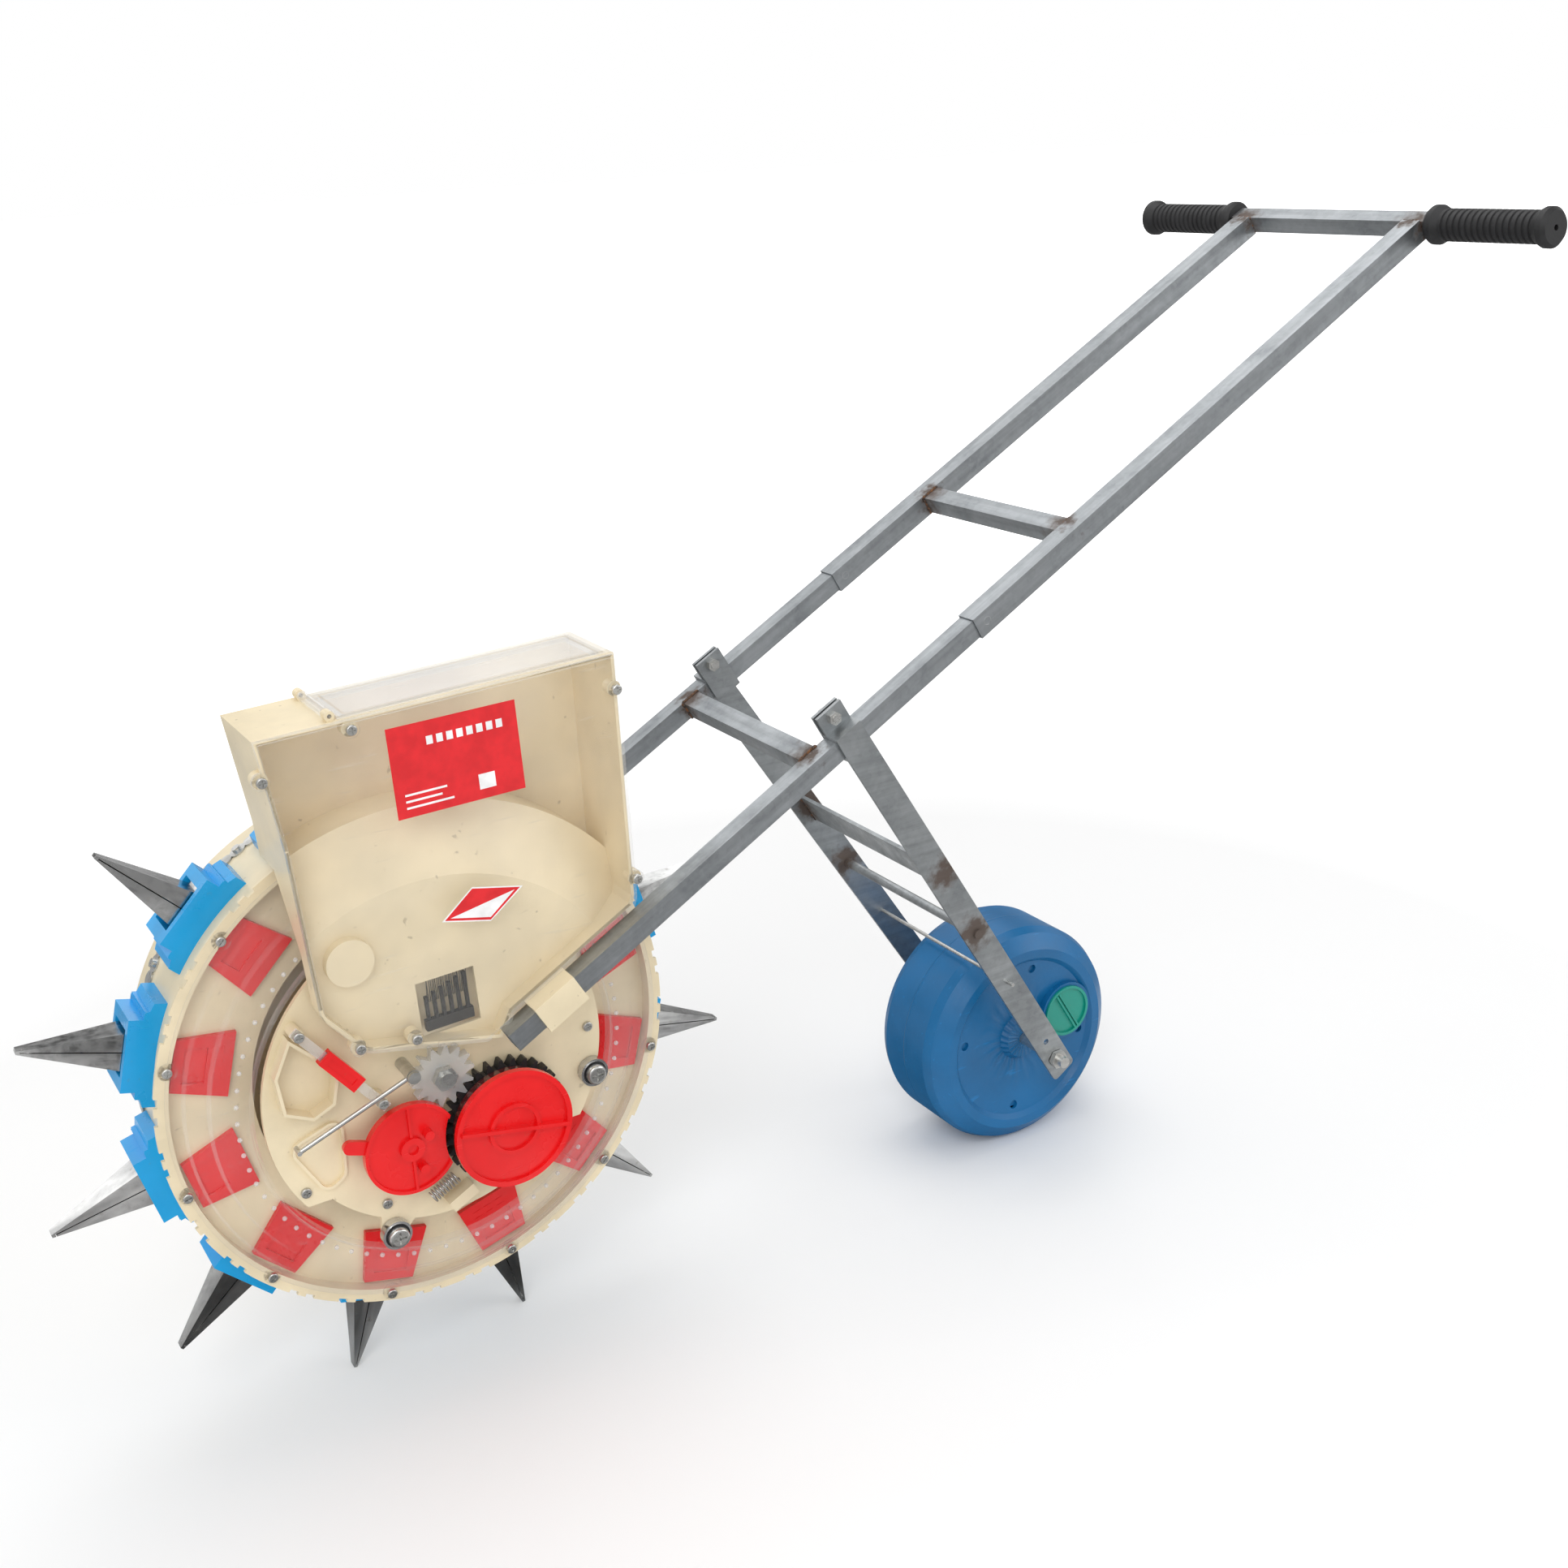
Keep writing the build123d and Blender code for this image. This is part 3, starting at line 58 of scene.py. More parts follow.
class Detail(Enum):
    """How a finish's fine texture lies on its piece."""

    EVEN = "even"
    ALONG_TUBES = "along_tubes"
    ROUND_WHEEL = "round_wheel"
    ACROSS = "across"


# ---- places taken from the record ----------------------------------------------------------------


def joint_record(name: str) -> dict[str, Any]:
    """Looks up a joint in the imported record.

    Args:
        name: The joint's name.

    Returns:
        The joint's own entry.
    """
    return next(joint for joint in frame["joints"] if joint["name"] == name)


def joint_place(name: str) -> Vector:
    """Gives the rest position of a hinge.

    Args:
        name: The joint's name.

    Returns:
        The point in metres.
    """
    return Vector(joint_record(name)["pos_m"])


def node_box(name: str) -> tuple[Vector, Vector]:
    """Gives a node's lowest and highest corner as vectors.

    Args:
        name: The node's name.

    Returns:
        The two corners.
    """
    low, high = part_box(name)
    return Vector(low), Vector(high)


def node_middle(name: str) -> Vector:
    """Gives the middle of a node's box.

    Args:
        name: The node's name.

    Returns:
        The point in metres.
    """
    low, high = node_box(name)
    return (low + high) / 2


def lift(colour: Colour, factor: float) -> Colour:
    """Brightens or darkens a colour.

    Args:
        colour: The linear colour.
        factor: What each part is multiplied by.

    Returns:
        The new colour, kept below one.
    """
    return tuple(min(0.95, part * factor) for part in colour)


# ---- node trees ------------------------------------------------------------------------------------


class NodeSheet:
    """Writes nodes and links into one tree."""

    def __init__(self, tree: bpy.types.NodeTree) -> None:
        """Keeps the tree that nodes are added to."""
        self.tree = tree
        self.column = 0

    def add(self, kind: str, inputs: dict[Any, Any] | None = None, **settings: Any) -> bpy.types.Node:
        """Adds one node.

        Args:
            kind: The node's type name.
            inputs: What goes into its sockets: a value, or an output socket to link.
            **settings: The node's own properties.

        Returns:
            The new node.
        """
        node = self.tree.nodes.new(kind)
        node.location = (self.column * 190, -40 * (self.column % 5))
        self.column += 1
        for key, value in settings.items():
            setattr(node, key, value)
        self.fill(node, inputs or {})
        return node

    def fill(self, node: bpy.types.Node, inputs: dict[Any, Any]) -> None:
        """Feeds several of a node's inputs."""
        for key, value in inputs.items():
            self.feed(node.inputs[key], value)

    def feed(self, socket: bpy.types.NodeSocket, value: Any) -> None:
        """Links an output to a socket, or sets the socket's value."""
        if isinstance(value, bpy.types.NodeSocket):
            self.tree.links.new(value, socket)
        elif socket.type == "RGBA" and len(value) == 3:
            socket.default_value = (*value, 1.0)
        else:
            socket.default_value = value

    def maths(self, operation: str, first: Any, second: Any = 0.0, third: Any = 0.0) -> bpy.types.NodeSocket:
        """Adds a Math node and gives its output."""
        return self.add("ShaderNodeMath", {0: first, 1: second, 2: third}, operation=operation).outputs[0]

    def place(self) -> bpy.types.NodeSocket:
        """Gives the object coordinates."""
        return self.add("ShaderNodeTexCoord").outputs["Object"]

    def group(self, tree: bpy.types.NodeTree, inputs: dict[str, Any]) -> Any:
        """Adds a shared effect and gives its outputs."""
        node = self.add("ShaderNodeGroup", node_tree=tree)
        self.fill(node, inputs)
        return node.outputs

    def bump(self, height: Any, strength: float, distance: float) -> bpy.types.NodeSocket:
        """Adds a Bump node and gives its normal."""
        return self.add("ShaderNodeBump", {"Height": height, "Strength": strength, "Distance": distance}).outputs[0]

    def scaled(self, vector: Any, factor: Any) -> bpy.types.NodeSocket:
        """Scales a vector."""
        return self.add("ShaderNodeVectorMath", {0: vector, 3: factor}, operation="SCALE").outputs[0]

    def random(self, low: Any, high: Any, seed: int) -> bpy.types.NodeSocket:
        """Draws a random vector for each copy in a geometry tree."""
        inputs = {0: low, 1: high, "Seed": seed}
        return self.add("FunctionNodeRandomValue", inputs, data_type="FLOAT_VECTOR").outputs[0]

    def shades(self, factor: Any, colour: Colour, dark: float, light: float) -> bpy.types.NodeSocket:
        """Runs from a darker to a lighter shade of one colour."""
        return self.blend(factor, lift(colour, dark), lift(colour, light))

    def wheel_parts(self, place: Any, centre: Sequence[float]) -> tuple[Any, Any, Any]:
        """Gives a point from a centre, its three parts, and its distance from the axis that lies along Y."""
        shifted = self.add("ShaderNodeVectorMath", {0: place, 1: tuple(centre)}, operation="SUBTRACT").outputs[0]
        parts = self.add("ShaderNodeSeparateXYZ", {0: shifted}).outputs
        flat = self.add("ShaderNodeCombineXYZ", {0: parts[0], 2: parts[2]}).outputs[0]
        radius = self.add("ShaderNodeVectorMath", {0: flat}, operation="LENGTH").outputs["Value"]
        return shifted, parts, radius

    def ramp(self, value: Any, low: float, high: float, out_low: float = 0.0, out_high: float = 1.0) -> Any:
        """Adds a clamped Map Range and gives its output.

        Args:
            value: What is mapped.
            low: The value that gives out_low.
            high: The value that gives out_high.
            out_low: The output at low.
            out_high: The output at high.

        Returns:
            The output socket.
        """
        inputs = {"Value": value, "From Min": low, "From Max": high, "To Min": out_low, "To Max": out_high}
        return self.add("ShaderNodeMapRange", inputs, clamp=True).outputs["Result"]

    def blend(self, factor: Any, first: Any, second: Any) -> bpy.types.NodeSocket:
        """Mixes two colours.

        Args:
            factor: How much of the second shows.
            first: The first colour or socket.
            second: The second colour or socket.

        Returns:
            The mixed colour.
        """
        node = self.add("ShaderNodeMix", data_type="RGBA")
        self.feed(node.inputs[0], factor)
        self.feed(node.inputs[6], first)
        self.feed(node.inputs[7], second)
        return node.outputs[2]

    def noise(self, vector: Any, scale: float, detail: float = 4.0, rough: float = 0.55) -> bpy.types.NodeSocket:
        """Adds a noise texture and gives its value.

        Args:
            vector: Where the noise is read.
            scale: Its scale, per metre.
            detail: Its number of octaves.
            rough: How strong the fine octaves are.

        Returns:
            The noise value.
        """
        inputs = {"Vector": vector, "Scale": scale, "Detail": detail, "Roughness": rough}
        return self.add("ShaderNodeTexNoise", inputs).outputs[0]


@dataclass(frozen=True)
class EffectPort:
    """One named socket of a shared effect."""

    name: str
    kind: str = "NodeSocketFloat"
    value: float | None = None


class Effects:
    """Shared shader effects, each built once as a node group."""

    def __init__(self) -> None:
        """Starts with no groups built."""
        self._made: dict[str, bpy.types.NodeTree] = {}

    def _group(self, name: str, ports: Sequence[EffectPort], outputs: Sequence[str],
               write: Callable[[NodeSheet, Any, Any], None]) -> bpy.types.NodeTree:
        """Builds a group the first time that it is asked for.

        Args:
            name: The group's name.
            ports: Its inputs.
            outputs: The names of its outputs.
            write: Puts the nodes between its input and output nodes.

        Returns:
            The group.
        """
        if name not in self._made:
            tree = bpy.data.node_groups.new(name, "ShaderNodeTree")
            for port in ports:
                socket = tree.interface.new_socket(port.name, in_out="INPUT", socket_type=port.kind)
                if port.value is not None:
                    socket.default_value = port.value
            for output in outputs:
                tree.interface.new_socket(output, in_out="OUTPUT", socket_type="NodeSocketFloat")
            sheet = NodeSheet(tree)
            start = sheet.add("NodeGroupInput")
            end = sheet.add("NodeGroupOutput")
            write(sheet, start.outputs, end.inputs)
            self._made[name] = tree
        return self._made[name]

    def handling(self) -> bpy.types.NodeTree:
        """Cloudy variation, fine scratches and specks of dirt on a handled surface."""

        def write(sheet: NodeSheet, start: Any, end: Any) -> None:
            """Fills the group."""
            vector, scale = start["Vector"], start["Scale"]
            cloud = sheet.noise(vector, scale, 5.0)
            fine = sheet.noise(vector, sheet.maths("MULTIPLY", scale, 9.0), 2.0)
            inputs = {"Vector": vector, "Rotation": (0.4, 0.7, 0.2), "Scale": (1, 14, 9)}
            stretch = sheet.add("ShaderNodeMapping", inputs)
            lines = sheet.noise(stretch.outputs[0], sheet.maths("MULTIPLY", scale, 1.6), 3.0)
            scratch = sheet.ramp(lines, 0.66, 0.72)
            specks = sheet.ramp(fine, 0.70, 0.76)
            sheet.feed(end["Cloud"], sheet.ramp(cloud, 0.35, 0.65))
            sheet.feed(end["Scratches"], scratch)
            sheet.feed(end["Specks"], specks)

        ports = (EffectPort("Vector", "NodeSocketVector"), EffectPort("Scale", value=18.0))
        return self._group("handling_marks", ports, ("Cloud", "Scratches", "Specks"), write)

    def drawn_metal(self) -> bpy.types.NodeTree:
        """Streaks along a drawn or rolled part, with blotches of zinc."""

        def write(sheet: NodeSheet, start: Any, end: Any) -> None:
            """Fills the group."""
            vector = start["Vector"]
            squeeze = sheet.add("ShaderNodeMapping", {"Vector": vector, "Scale": (1.0, 26.0, 26.0)})
            streak = sheet.noise(squeeze.outputs[0], start["Streak Scale"], 5.0, 0.6)
            blotch = sheet.noise(vector, start["Blotch Scale"], 4.0, 0.6)
            cells = sheet.add("ShaderNodeTexVoronoi", {"Vector": vector, "Scale": 260.0}, feature="F1")
            sheet.feed(end["Streaks"], sheet.ramp(streak, 0.32, 0.68))
            sheet.feed(end["Blotches"], sheet.ramp(blotch, 0.38, 0.66))
            tone = sheet.add("ShaderNodeSeparateColor", {0: cells.outputs["Color"]})
            sheet.feed(end["Spangle"], tone.outputs[0])

        ports = (EffectPort("Vector", "NodeSocketVector"), EffectPort("Streak Scale", value=6.0),
                 EffectPort("Blotch Scale", value=22.0))
        return self._group("drawn_metal", ports, ("Streaks", "Blotches", "Spangle"), write)


EFFECTS = Effects()


def new_material(name: str) -> tuple[bpy.types.Material, NodeSheet, bpy.types.Node]:
    """Makes an empty Principled material.

    Args:
        name: The material's name.

    Returns:
        The material, a sheet for its tree and its Principled node.
    """
    material = bpy.data.materials.new(name)
    material.use_nodes = True
    tree = material.node_tree
    tree.nodes.clear()
    sheet = NodeSheet(tree)
    shader = sheet.add("ShaderNodeBsdfPrincipled")
    output = sheet.add("ShaderNodeOutputMaterial")
    tree.links.new(shader.outputs[0], output.inputs[0])
    return material, sheet, shader


def piece_vector(sheet: NodeSheet, detail: Detail, tilt: float = 0.0) -> bpy.types.NodeSocket:
    """Gives object coordinates laid along a piece's own direction.

    Args:
        sheet: The material's sheet.
        detail: How the texture lies.
        tilt: The tubes' slope in radians.

    Returns:
        The vector socket.
    """
    place = sheet.place()
    if detail is Detail.ALONG_TUBES:
        return sheet.add("ShaderNodeMapping", {"Vector": place, "Rotation": (0.0, tilt, 0.0)}).outputs[0]
    if detail is Detail.ACROSS:
        return sheet.add("ShaderNodeMapping", {"Vector": place, "Rotation": (0.0, 0.0, math.pi / 2)}).outputs[0]
    if detail is Detail.ROUND_WHEEL:
        _, parts, radius = sheet.wheel_parts(place, joint_place("wheel_spin"))
        angle = sheet.maths("MULTIPLY", sheet.maths("ARCTAN2", parts[2], parts[0]), WHEEL_ARC)
        return sheet.add("ShaderNodeCombineXYZ", {0: radius, 1: angle, 2: parts[1]}).outputs[0]
    return place


# ---- finishes --------------------------------------------------------------------------------------


@dataclass(frozen=True)
class Moulded:
    """Injection-moulded plastic with a slight orange-peel surface and marks of handling."""

    name: str
    colour: Colour
    roughness: float = 0.3
    cloud: float = 0.08
    dirt: float = 0.25
    dirt_colour: Colour = (0.16, 0.10, 0.05)
    peel: float = 0.12
    peel_scale: float = 420.0
    coat: float = 0.15
    scale: float = 16.0
    detail: Detail = Detail.EVEN
    cloud_dulls: float = 0.10
    scratch_dulls: float = 0.18
    scratch_depth: float = 0.6

    def make(self) -> bpy.types.Material:
        """Builds the material."""
        material, sheet, shader = new_material(self.name)
        vector = piece_vector(sheet, self.detail)
        marks = sheet.group(EFFECTS.handling(), {"Vector": vector, "Scale": self.scale})
        tone = sheet.shades(marks["Cloud"], self.colour, 1.0 - self.cloud, 1.0 + self.cloud)
        dirt = sheet.maths("MULTIPLY", marks["Specks"], self.dirt)
        rough = sheet.maths("MULTIPLY_ADD", marks["Cloud"], self.cloud_dulls, self.roughness)
        scratches = sheet.maths("MULTIPLY", marks["Scratches"], self.scratch_depth)
        height = sheet.maths("SUBTRACT", sheet.noise(vector, self.peel_scale, 2.0), scratches)
        sheet.fill(shader, {
            "Base Color": sheet.blend(dirt, tone, self.dirt_colour),
            "Roughness": sheet.maths("MULTIPLY_ADD", marks["Scratches"], self.scratch_dulls, rough),
            "Coat Weight": self.coat,
            "Coat Roughness": 0.12,
            "Normal": sheet.bump(height, self.peel, 0.0004),
        })
        return material


@dataclass(frozen=True)
class ClearSheet:
    """Clear plastic: nearly invisible face on, brighter at its edges, with faint haze and scratches."""

    name: str
    colour: Colour
    face: float = 0.025
    edge: float = 0.50
    roughness: float = 0.07
    scratched: float = 0.35
    haze: float = 0.02
    scratch_haze: float = 0.06
    scale: float = 14.0

    def make(self) -> bpy.types.Material:
        """Builds the material."""
        material, sheet, shader = new_material(self.name)
        place = sheet.place()
        marks = sheet.group(EFFECTS.handling(), {"Vector": place, "Scale": self.scale})
        facing = sheet.add("ShaderNodeLayerWeight", {"Blend": 0.32}).outputs["Facing"]
        alpha = sheet.ramp(facing, 0.12, 0.95, self.face, self.edge)
        hazed = sheet.maths("MULTIPLY_ADD", marks["Cloud"], self.haze, alpha)
        total = sheet.maths("MULTIPLY_ADD", marks["Scratches"], self.scratch_haze, hazed)
        sheet.fill(shader, {
            "Base Color": sheet.blend(marks["Cloud"], lift(self.colour, 0.93), self.colour),
            "Roughness": sheet.ramp(marks["Scratches"], 0, 1, self.roughness, self.scratched),
            "Alpha": sheet.maths("MINIMUM", total, 1.0),
            "Specular IOR Level": 0.9,
            "Coat Weight": 0.6,
            "Coat Roughness": 0.03,
            "Normal": sheet.bump(sheet.noise(place, 26.0, 2.0), 0.08, 0.002),
        })
        return material


@dataclass(frozen=True)
class Galvanised:
    """Zinc-coated steel with drawn streaks, blotches and brown heat marks round its welds."""

    name: str
    colour: Colour = (0.41, 0.432, 0.45)
    dark: Colour = (0.15, 0.163, 0.175)
    roughness: float = 0.32
    detail: Detail = Detail.ALONG_TUBES
    tilt: float = 0.0
    welds: tuple[tuple[float, float, float], ...] = ()
    weld_core: float = 0.009
    weld_reach: float = 0.017
    burnt: Colour = (0.075, 0.040, 0.022)
    metal: float = 0.92
    burnt_metal: float = 0.25

    def make(self) -> bpy.types.Material:
        """Builds the material."""
        material, sheet, shader = new_material(self.name)
        vector = piece_vector(sheet, self.detail, self.tilt)
        metal = sheet.group(EFFECTS.drawn_metal(), {"Vector": vector})
        base = sheet.shades(metal["Streaks"], self.colour, 0.80, 1.16)
        base = sheet.blend(sheet.maths("MULTIPLY", metal["Blotches"], 0.45), base, self.dark)
        base = sheet.blend(sheet.maths("MULTIPLY", metal["Spangle"], 0.18), base, lift(self.colour, 1.4))
        rough = sheet.maths("MULTIPLY_ADD", metal["Blotches"], 0.16, self.roughness)
        metallic: Any = self.metal
        rust = self.heat_mask(sheet)
        if rust is not None:
            base = sheet.blend(rust, base, self.burnt)
            metallic = sheet.ramp(rust, 0, 1, self.metal, self.burnt_metal)
            rough = sheet.maths("MAXIMUM", rough, sheet.maths("MULTIPLY", rust, 0.75))
        height = sheet.maths("MULTIPLY_ADD", metal["Blotches"], 0.5, metal["Streaks"])
        normal = sheet.bump(height, 0.16, 0.0004)
        sheet.fill(shader, {"Base Color": base, "Metallic": metallic, "Roughness": rough, "Normal": normal})
        return material

    def heat_mask(self, sheet: NodeSheet) -> bpy.types.NodeSocket | None:
        """Adds a ragged mask that is strongest at each weld and falls to nought away from it."""
        if not self.welds:
            return None
        place = sheet.place()
        ragged = sheet.ramp(sheet.noise(place, 120.0), 0.3, 0.7, -0.006, 0.006)
        mask: Any = None
        for weld in self.welds:
            reach = sheet.add("ShaderNodeVectorMath", {0: place, 1: weld}, operation="DISTANCE").outputs["Value"]
            near = sheet.ramp(sheet.maths("ADD", reach, ragged), self.weld_core, self.weld_reach, 0.85, 0.0)
            mask = near if mask is None else sheet.maths("MAXIMUM", mask, near)
        return mask


@dataclass(frozen=True)
class Polished:
    """Bright pressed steel whose rolled surface is wavy and smudged in places, with painted dark reflections in
    broad patches of its colour.
    """

    name: str
    bright: Colour = (0.80, 0.80, 0.79)
    # The dark colour is painted reflection: broad patches of the steel's colour are darkened towards it.
    dark: Colour = (0.07, 0.072, 0.078)
    smudge: Colour = (0.24, 0.20, 0.15)
    # How far the painted dark reflection darkens those patches.
    shade: float = 0.5
    roughness: float = 0.12
    rougher: float = 0.16
    scale: float = 17.0
    stretch: tuple[float, float, float] = (0.45, 2.6, 1.5)

    def make(self) -> bpy.types.Material:
        """Builds the material."""
        material, sheet, shader = new_material(self.name)
        vector = piece_vector(sheet, Detail.ROUND_WHEEL)
        squeeze = sheet.add("ShaderNodeMapping", {"Vector": vector, "Scale": self.stretch}).outputs[0]
        broad = sheet.noise(squeeze, self.scale, 3.0, 0.5)
        fine = sheet.noise(vector, 160.0, 3.0)
        # Painted reflection: broad patches darken the steel's colour towards the dark colour, standing in for dark
        # surroundings seen in the metal.
        painted_reflection_patch = sheet.maths("MULTIPLY", sheet.ramp(broad, 0.42, 0.58), self.shade)
        base = sheet.blend(painted_reflection_patch, self.bright, self.dark)
        sheet.fill(shader, {
            "Base Color": sheet.blend(sheet.ramp(fine, 0.64, 0.74, 0.0, 0.35), base, self.smudge),
            "Metallic": 1.0,
            "Roughness": sheet.ramp(fine, 0.35, 0.75, self.roughness, self.roughness + self.rougher),
            "Normal": sheet.bump(broad, 0.35, 0.003),
        })
        return material


@dataclass(frozen=True)
class Rubber:
    """Matt black rubber with dust in its ribs."""

    name: str
    colour: Colour = (0.012, 0.012, 0.013)
    roughness: float = 0.55
    dusty: Colour = (0.055, 0.055, 0.058)
    dust: float = 0.35

    def make(self) -> bpy.types.Material:
        """Builds the material."""
        material, sheet, shader = new_material(self.name)
        place = sheet.place()
        dust = sheet.ramp(sheet.noise(place, 60.0, 6.0), 0.5, 0.75, 0.0, self.dust)
        sheet.fill(shader, {
            "Base Color": sheet.blend(dust, self.colour, self.dusty),
            "Roughness": sheet.ramp(dust, 0.0, self.dust, self.roughness, 0.8),
            "Normal": sheet.bump(sheet.noise(place, 900.0, 2.0), 0.2, 0.0003),
        })
        return material


@dataclass(frozen=True)
class BlowMoulded:
    """Blow-moulded roller plastic, creased round its hub, with a parting line and scuffs."""

    name: str
    colour: Colour
    centre: tuple[float, float, float]
    crease_radius: float = 0.052
    creases: float = 11.0
    swing: float = 5.0
    scale: float = 15.0
    seam_half: tuple[float, float] = (0.0004, 0.0012)

    def make(self) -> bpy.types.Material:
        """Builds the material."""
        material, sheet, shader = new_material(self.name)
        place = sheet.place()
        shifted, parts, radius = sheet.wheel_parts(place, self.centre)
        angle = sheet.maths("ARCTAN2", parts[2], parts[0])
        swing = sheet.maths("MULTIPLY", sheet.noise(shifted, 22.0, 2.0), self.swing)
        waves = sheet.maths("SINE", sheet.maths("MULTIPLY_ADD", angle, self.creases, swing))
        fade = sheet.ramp(radius, self.crease_radius * 0.45, self.crease_radius, 1.0, 0.0)
        creases = sheet.maths("MULTIPLY", sheet.maths("POWER", sheet.maths("ABSOLUTE", waves), 3.0), fade)
        marks = sheet.group(EFFECTS.handling(), {"Vector": place, "Scale": self.scale})
        seam = sheet.ramp(sheet.maths("ABSOLUTE", parts[1]), *self.seam_half, 1.0, 0.0)
        tone = sheet.shades(marks["Cloud"], self.colour, 0.88, 1.12)
        scuffs = sheet.maths("MULTIPLY", marks["Scratches"], 0.30)
        height = sheet.maths("MULTIPLY_ADD", sheet.noise(place, 260.0, 2.0), 0.08, creases)
        height = sheet.maths("MULTIPLY_ADD", seam, 0.4, height)
        sheet.fill(shader, {
            "Base Color": sheet.blend(scuffs, tone, lift(self.colour, 2.2)),
            "Roughness": sheet.ramp(marks["Cloud"], 0, 1, 0.30, 0.46),
            "Normal": sheet.bump(height, 0.55, 0.0018),
        })
        return material


@dataclass(frozen=True)
class Burnt:
    """Weld metal: dark, lumpy and brown at its edges."""

    name: str
    colour: Colour = (0.065, 0.050, 0.042)
    rust: Colour = (0.19, 0.085, 0.035)

    def make(self) -> bpy.types.Material:
        """Builds the material."""
        material, sheet, shader = new_material(self.name)
        patches = sheet.ramp(sheet.noise(sheet.place(), 240.0), 0.42, 0.62)
        sheet.fill(shader, {
            "Base Color": sheet.blend(patches, self.colour, self.rust),
            "Metallic": sheet.ramp(patches, 0, 1, 0.7, 0.1),
            "Roughness": sheet.ramp(patches, 0, 1, 0.42, 0.8),
            "Normal": sheet.bump(patches, 0.4, 0.0006),
        })
        return material


@dataclass(frozen=True)
class Printed:
    """Gloss print on a sticker, with a faint unevenness in its ink."""

    name: str
    colour: Colour
    roughness: float = 0.32

    def make(self) -> bpy.types.Material:
        """Builds the material."""
        material, sheet, shader = new_material(self.name)
        place = sheet.place()
        ink = sheet.ramp(sheet.noise(place, 90.0, 3.0), 0.35, 0.65)
        sheet.fill(shader, {
            "Base Color": sheet.shades(ink, self.colour, 0.90, 1.06),
            "Roughness": sheet.ramp(ink, 0, 1, self.roughness, self.roughness + 0.1),
            "Normal": sheet.bump(sheet.noise(place, 34.0, 2.0), 0.12, 0.001),
        })
        return material


Finish = Moulded | ClearSheet | Galvanised | Polished | Rubber | BlowMoulded | Burnt | Printed


class Finishes:
    """Makes each finish once and hands out its material."""

    def __init__(self) -> None:
        """Starts with nothing made."""
        self._made: dict[str, bpy.types.Material] = {}

    def material(self, finish: Finish) -> bpy.types.Material:
        """Gives the finish's material.

        Args:
            finish: The finish.

        Returns:
            Its material, built the first time.
        """
        if finish.name not in self._made:
            self._made[finish.name] = finish.make()
        return self._made[finish.name]

    def dress(self, finish: Finish, nodes: Iterable[str]) -> None:
        """Gives CAD nodes a finish.

        Args:
            finish: The finish.
            nodes: The nodes' names.
        """
        material = self.material(finish)
        for name in nodes:
            node = frame["nodes"][name]
            if not node.material_slots:
                node.data.materials.append(material)
            for slot in node.material_slots:
                slot.material = material
            LOG.info("%s: %s", name, finish.name)


CREAM = (0.80, 0.685, 0.47)
RED = (0.80, 0.004, 0.006)
ZINC = Galvanised("zinc_plate", (0.62, 0.62, 0.60), (0.28, 0.27, 0.25), 0.26, Detail.EVEN)
PRESSED_LIP = Galvanised("pressed_lip", (0.40, 0.41, 0.42), (0.10, 0.10, 0.10), 0.4, Detail.EVEN)
RED_POCKETS = Moulded("red_pockets", RED, roughness=0.25)
STICKER_RED = Printed("sticker_red", (0.74, 0.012, 0.018))
STICKER_WHITE = Printed("sticker_white", (0.90, 0.90, 0.90))


# ---- meshes and repeated pieces -----------------------------------------------------------------------


def finish_piece(piece: bpy.types.Object, body: str) -> bpy.types.Object:
    """Sets a finished piece on its body.

    Args:
        piece: The piece, with its place in its mesh.
        body: The body that it rides on.

    Returns:
        The same piece.
    """
    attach(piece, body)
    LOG.info("%s: %d faces on %s", piece.name, len(piece.data.polygons), body)
    return piece


def mesh_object(name: str, points: Sequence[Vector], faces: Sequence[Sequence[int]],
                materials: Sequence[bpy.types.Material], smooth: bool = False) -> bpy.types.Object:
    """Makes an object from points and faces.

    Args:
        name: The object's name.
        points: Its points in metres.
        faces: Its faces, as point numbers.
        materials: Its materials.
        smooth: Whether its faces are shaded smooth.

    Returns:
        The new object.
    """
    mesh = bpy.data.meshes.new(name)
    mesh.from_pydata([tuple(point) for point in points], [], [tuple(face) for face in faces])
    for material in materials:
        mesh.materials.append(material)
    shape = bmesh.new()
    shape.from_mesh(mesh)
    bmesh.ops.recalc_face_normals(shape, faces=shape.faces)
    for face in shape.faces:
        face.smooth = smooth
    shape.to_mesh(mesh)
    shape.free()
    piece = bpy.data.objects.new(name, mesh)
    bpy.context.scene.collection.objects.link(piece)
    return piece


class BeadTree(Enum):
    """What a repeated piece is made of."""

    BEAD = "bead"
    BRISTLE = "bristle"


